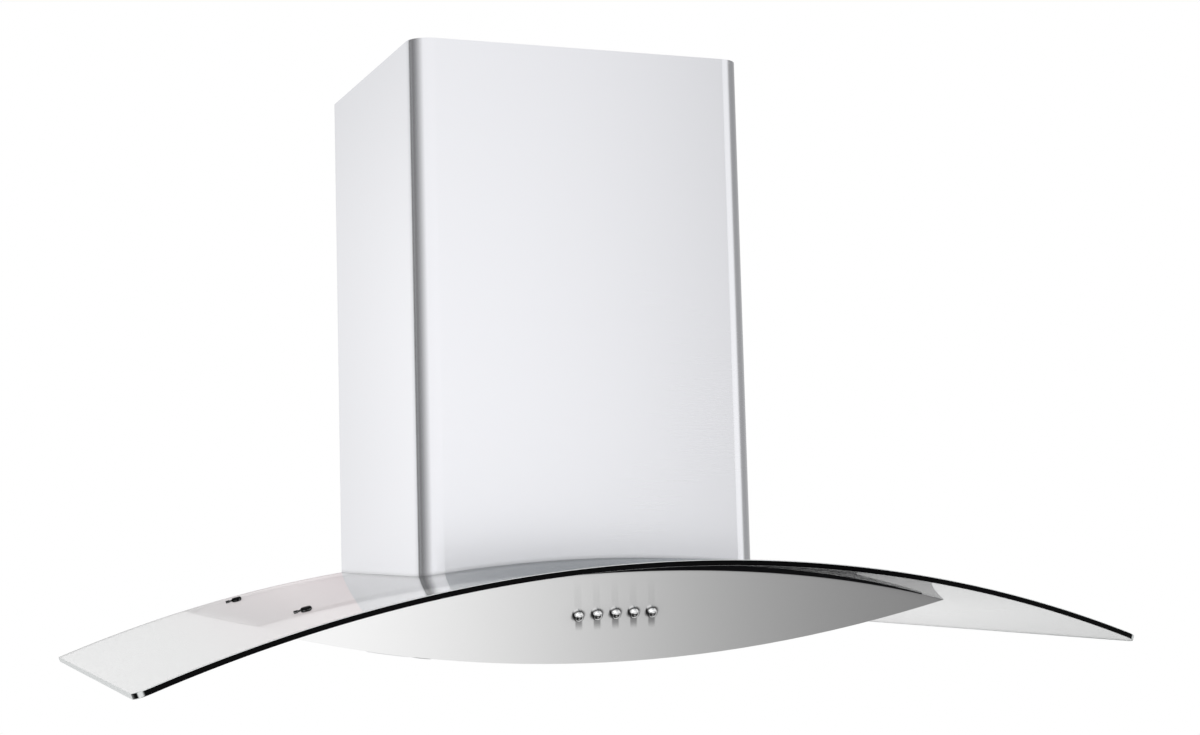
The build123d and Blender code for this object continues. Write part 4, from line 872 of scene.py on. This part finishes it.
def net_shape(side):
    """Layers of net: a full field, and a short one on each side of the latch pocket."""
    parts = []
    total = 0
    for layer in NET_LAYERS:
        for middle, length, width in NET_FIELDS:
            points, quads = net_layer(length, width, *layer)
            parts.append((points + (*middle, 0), quads + total))
            total += len(points)
    points = on_filter(np.concatenate([part[0] for part in parts]), side)
    quads = np.concatenate([part[1] for part in parts])
    return points, (quads[:, ::-1] if side > 0 else quads).tolist()


net_alloy = moulded("net_alloy", (0.80, 0.80, 0.81), 0.28, grain=500.0, metallic=1.0)
rim_alloy = moulded("rim_alloy", (0.76, 0.76, 0.77), 0.34, grain=1200.0, metallic=1.0)
for word, side in (("right", 1), ("left", -1)):
    name = f"filter_net_{word}"
    replaced = f"filter_mesh_{word}"
    add_piece(name, *net_shape(side), net_alloy, f"filter_{word}", "aluminium", replaced)
dress(rim_alloy, "filter_frame_right", "filter_frame_left")
latch_black = moulded("latch_black", (0.04, 0.04, 0.042), 0.38)
dress(latch_black, "filter_latch_right", "filter_latch_left")


# ---------------------------------------------------------------- work lights
# Two round lights, let into the lower pan at the left and the right. A plated ring holds a disc
# of frosted glass, and a cast housing behind it carries the lamp.
FROST_GRAIN = 2500.0

frosted = Finish(bpy.data.materials.new("frosted_glass"))
frost = noise(frosted, place(frosted), FROST_GRAIN, 1.0)
frosted_shader = principled(
    frosted,
    Base_Color=(0.93, 0.93, 0.91, 1),
    Roughness=frost * 0.08 + 0.42,
    IOR=1.5,
    Transmission_Weight=0.35,
)
dress(frosted.close(frosted_shader), "lamp_lens_right", "lamp_lens_left")
dress(chrome, "lamp_bezel_right", "lamp_bezel_left")
cast_alloy = moulded(
    "cast_alloy", (0.70, 0.71, 0.72), 0.40, grain=260.0, depth=0.00004, metallic=1.0
)
dress(cast_alloy, "lamp_module_right", "lamp_module_left")


# ---------------------------------------------------------------- inner sheet work
# Wall plate, blower box and brackets, folded from galvanised sheet: a grey zinc skin with faint
# crystals.
CRYSTAL_SCALE = 90.0

zinc_sheet = Finish(bpy.data.materials.new("zinc_sheet"))
cells = {"Vector": place(zinc_sheet), "Scale": CRYSTAL_SCALE}
fleck = zinc_sheet.node("ShaderNodeTexVoronoi", {}, cells, "Color").part(0)
zinc_shade = zinc_sheet.mix(fleck, (0.55, 0.56, 0.57, 1), (0.68, 0.69, 0.70, 1))
zinc_rough = fleck * 0.16 + 0.38
zinc_shader = principled(zinc_sheet, Base_Color=zinc_shade, Metallic=0.9, Roughness=zinc_rough)
galvanised = zinc_sheet.close(zinc_shader)
dress(galvanised, "back_plate", "motor_housing", "motor_bracket", "chimney_bracket")


# ---------------------------------------------------------------- blower and duct
# A moulded wheel in a grey volute, driven by a can motor, blows into a black collar with two
# light flaps.
wheel_black = moulded("wheel_black", (0.035, 0.035, 0.037), 0.40)
volute_grey = moulded("volute_grey", (0.33, 0.34, 0.35), 0.45)
motor_steel = moulded(
    "motor_steel", (0.60, 0.60, 0.62), 0.30, grain=700.0, depth=0.00001, metallic=1.0
)
flap_alloy = moulded("flap_alloy", (0.74, 0.75, 0.76), 0.36, metallic=1.0)
dress(wheel_black, "impeller", "outlet_collar")
dress(volute_grey, "scroll_right", "scroll_left")
dress(motor_steel, "motor", "motor_shaft")
dress(flap_alloy, "damper_front", "damper_rear")


# ---------------------------------------------------------------- electrical parts
# A white moulded terminal box with its lid, the motor's capacitor and a black cable gland. They
# sit on the blower box.
white_plastic = moulded("white_plastic", (0.80, 0.80, 0.78), 0.32)
dress(white_plastic, "terminal_box", "terminal_lid", "capacitor")
dress(wheel_black, "cable_gland")
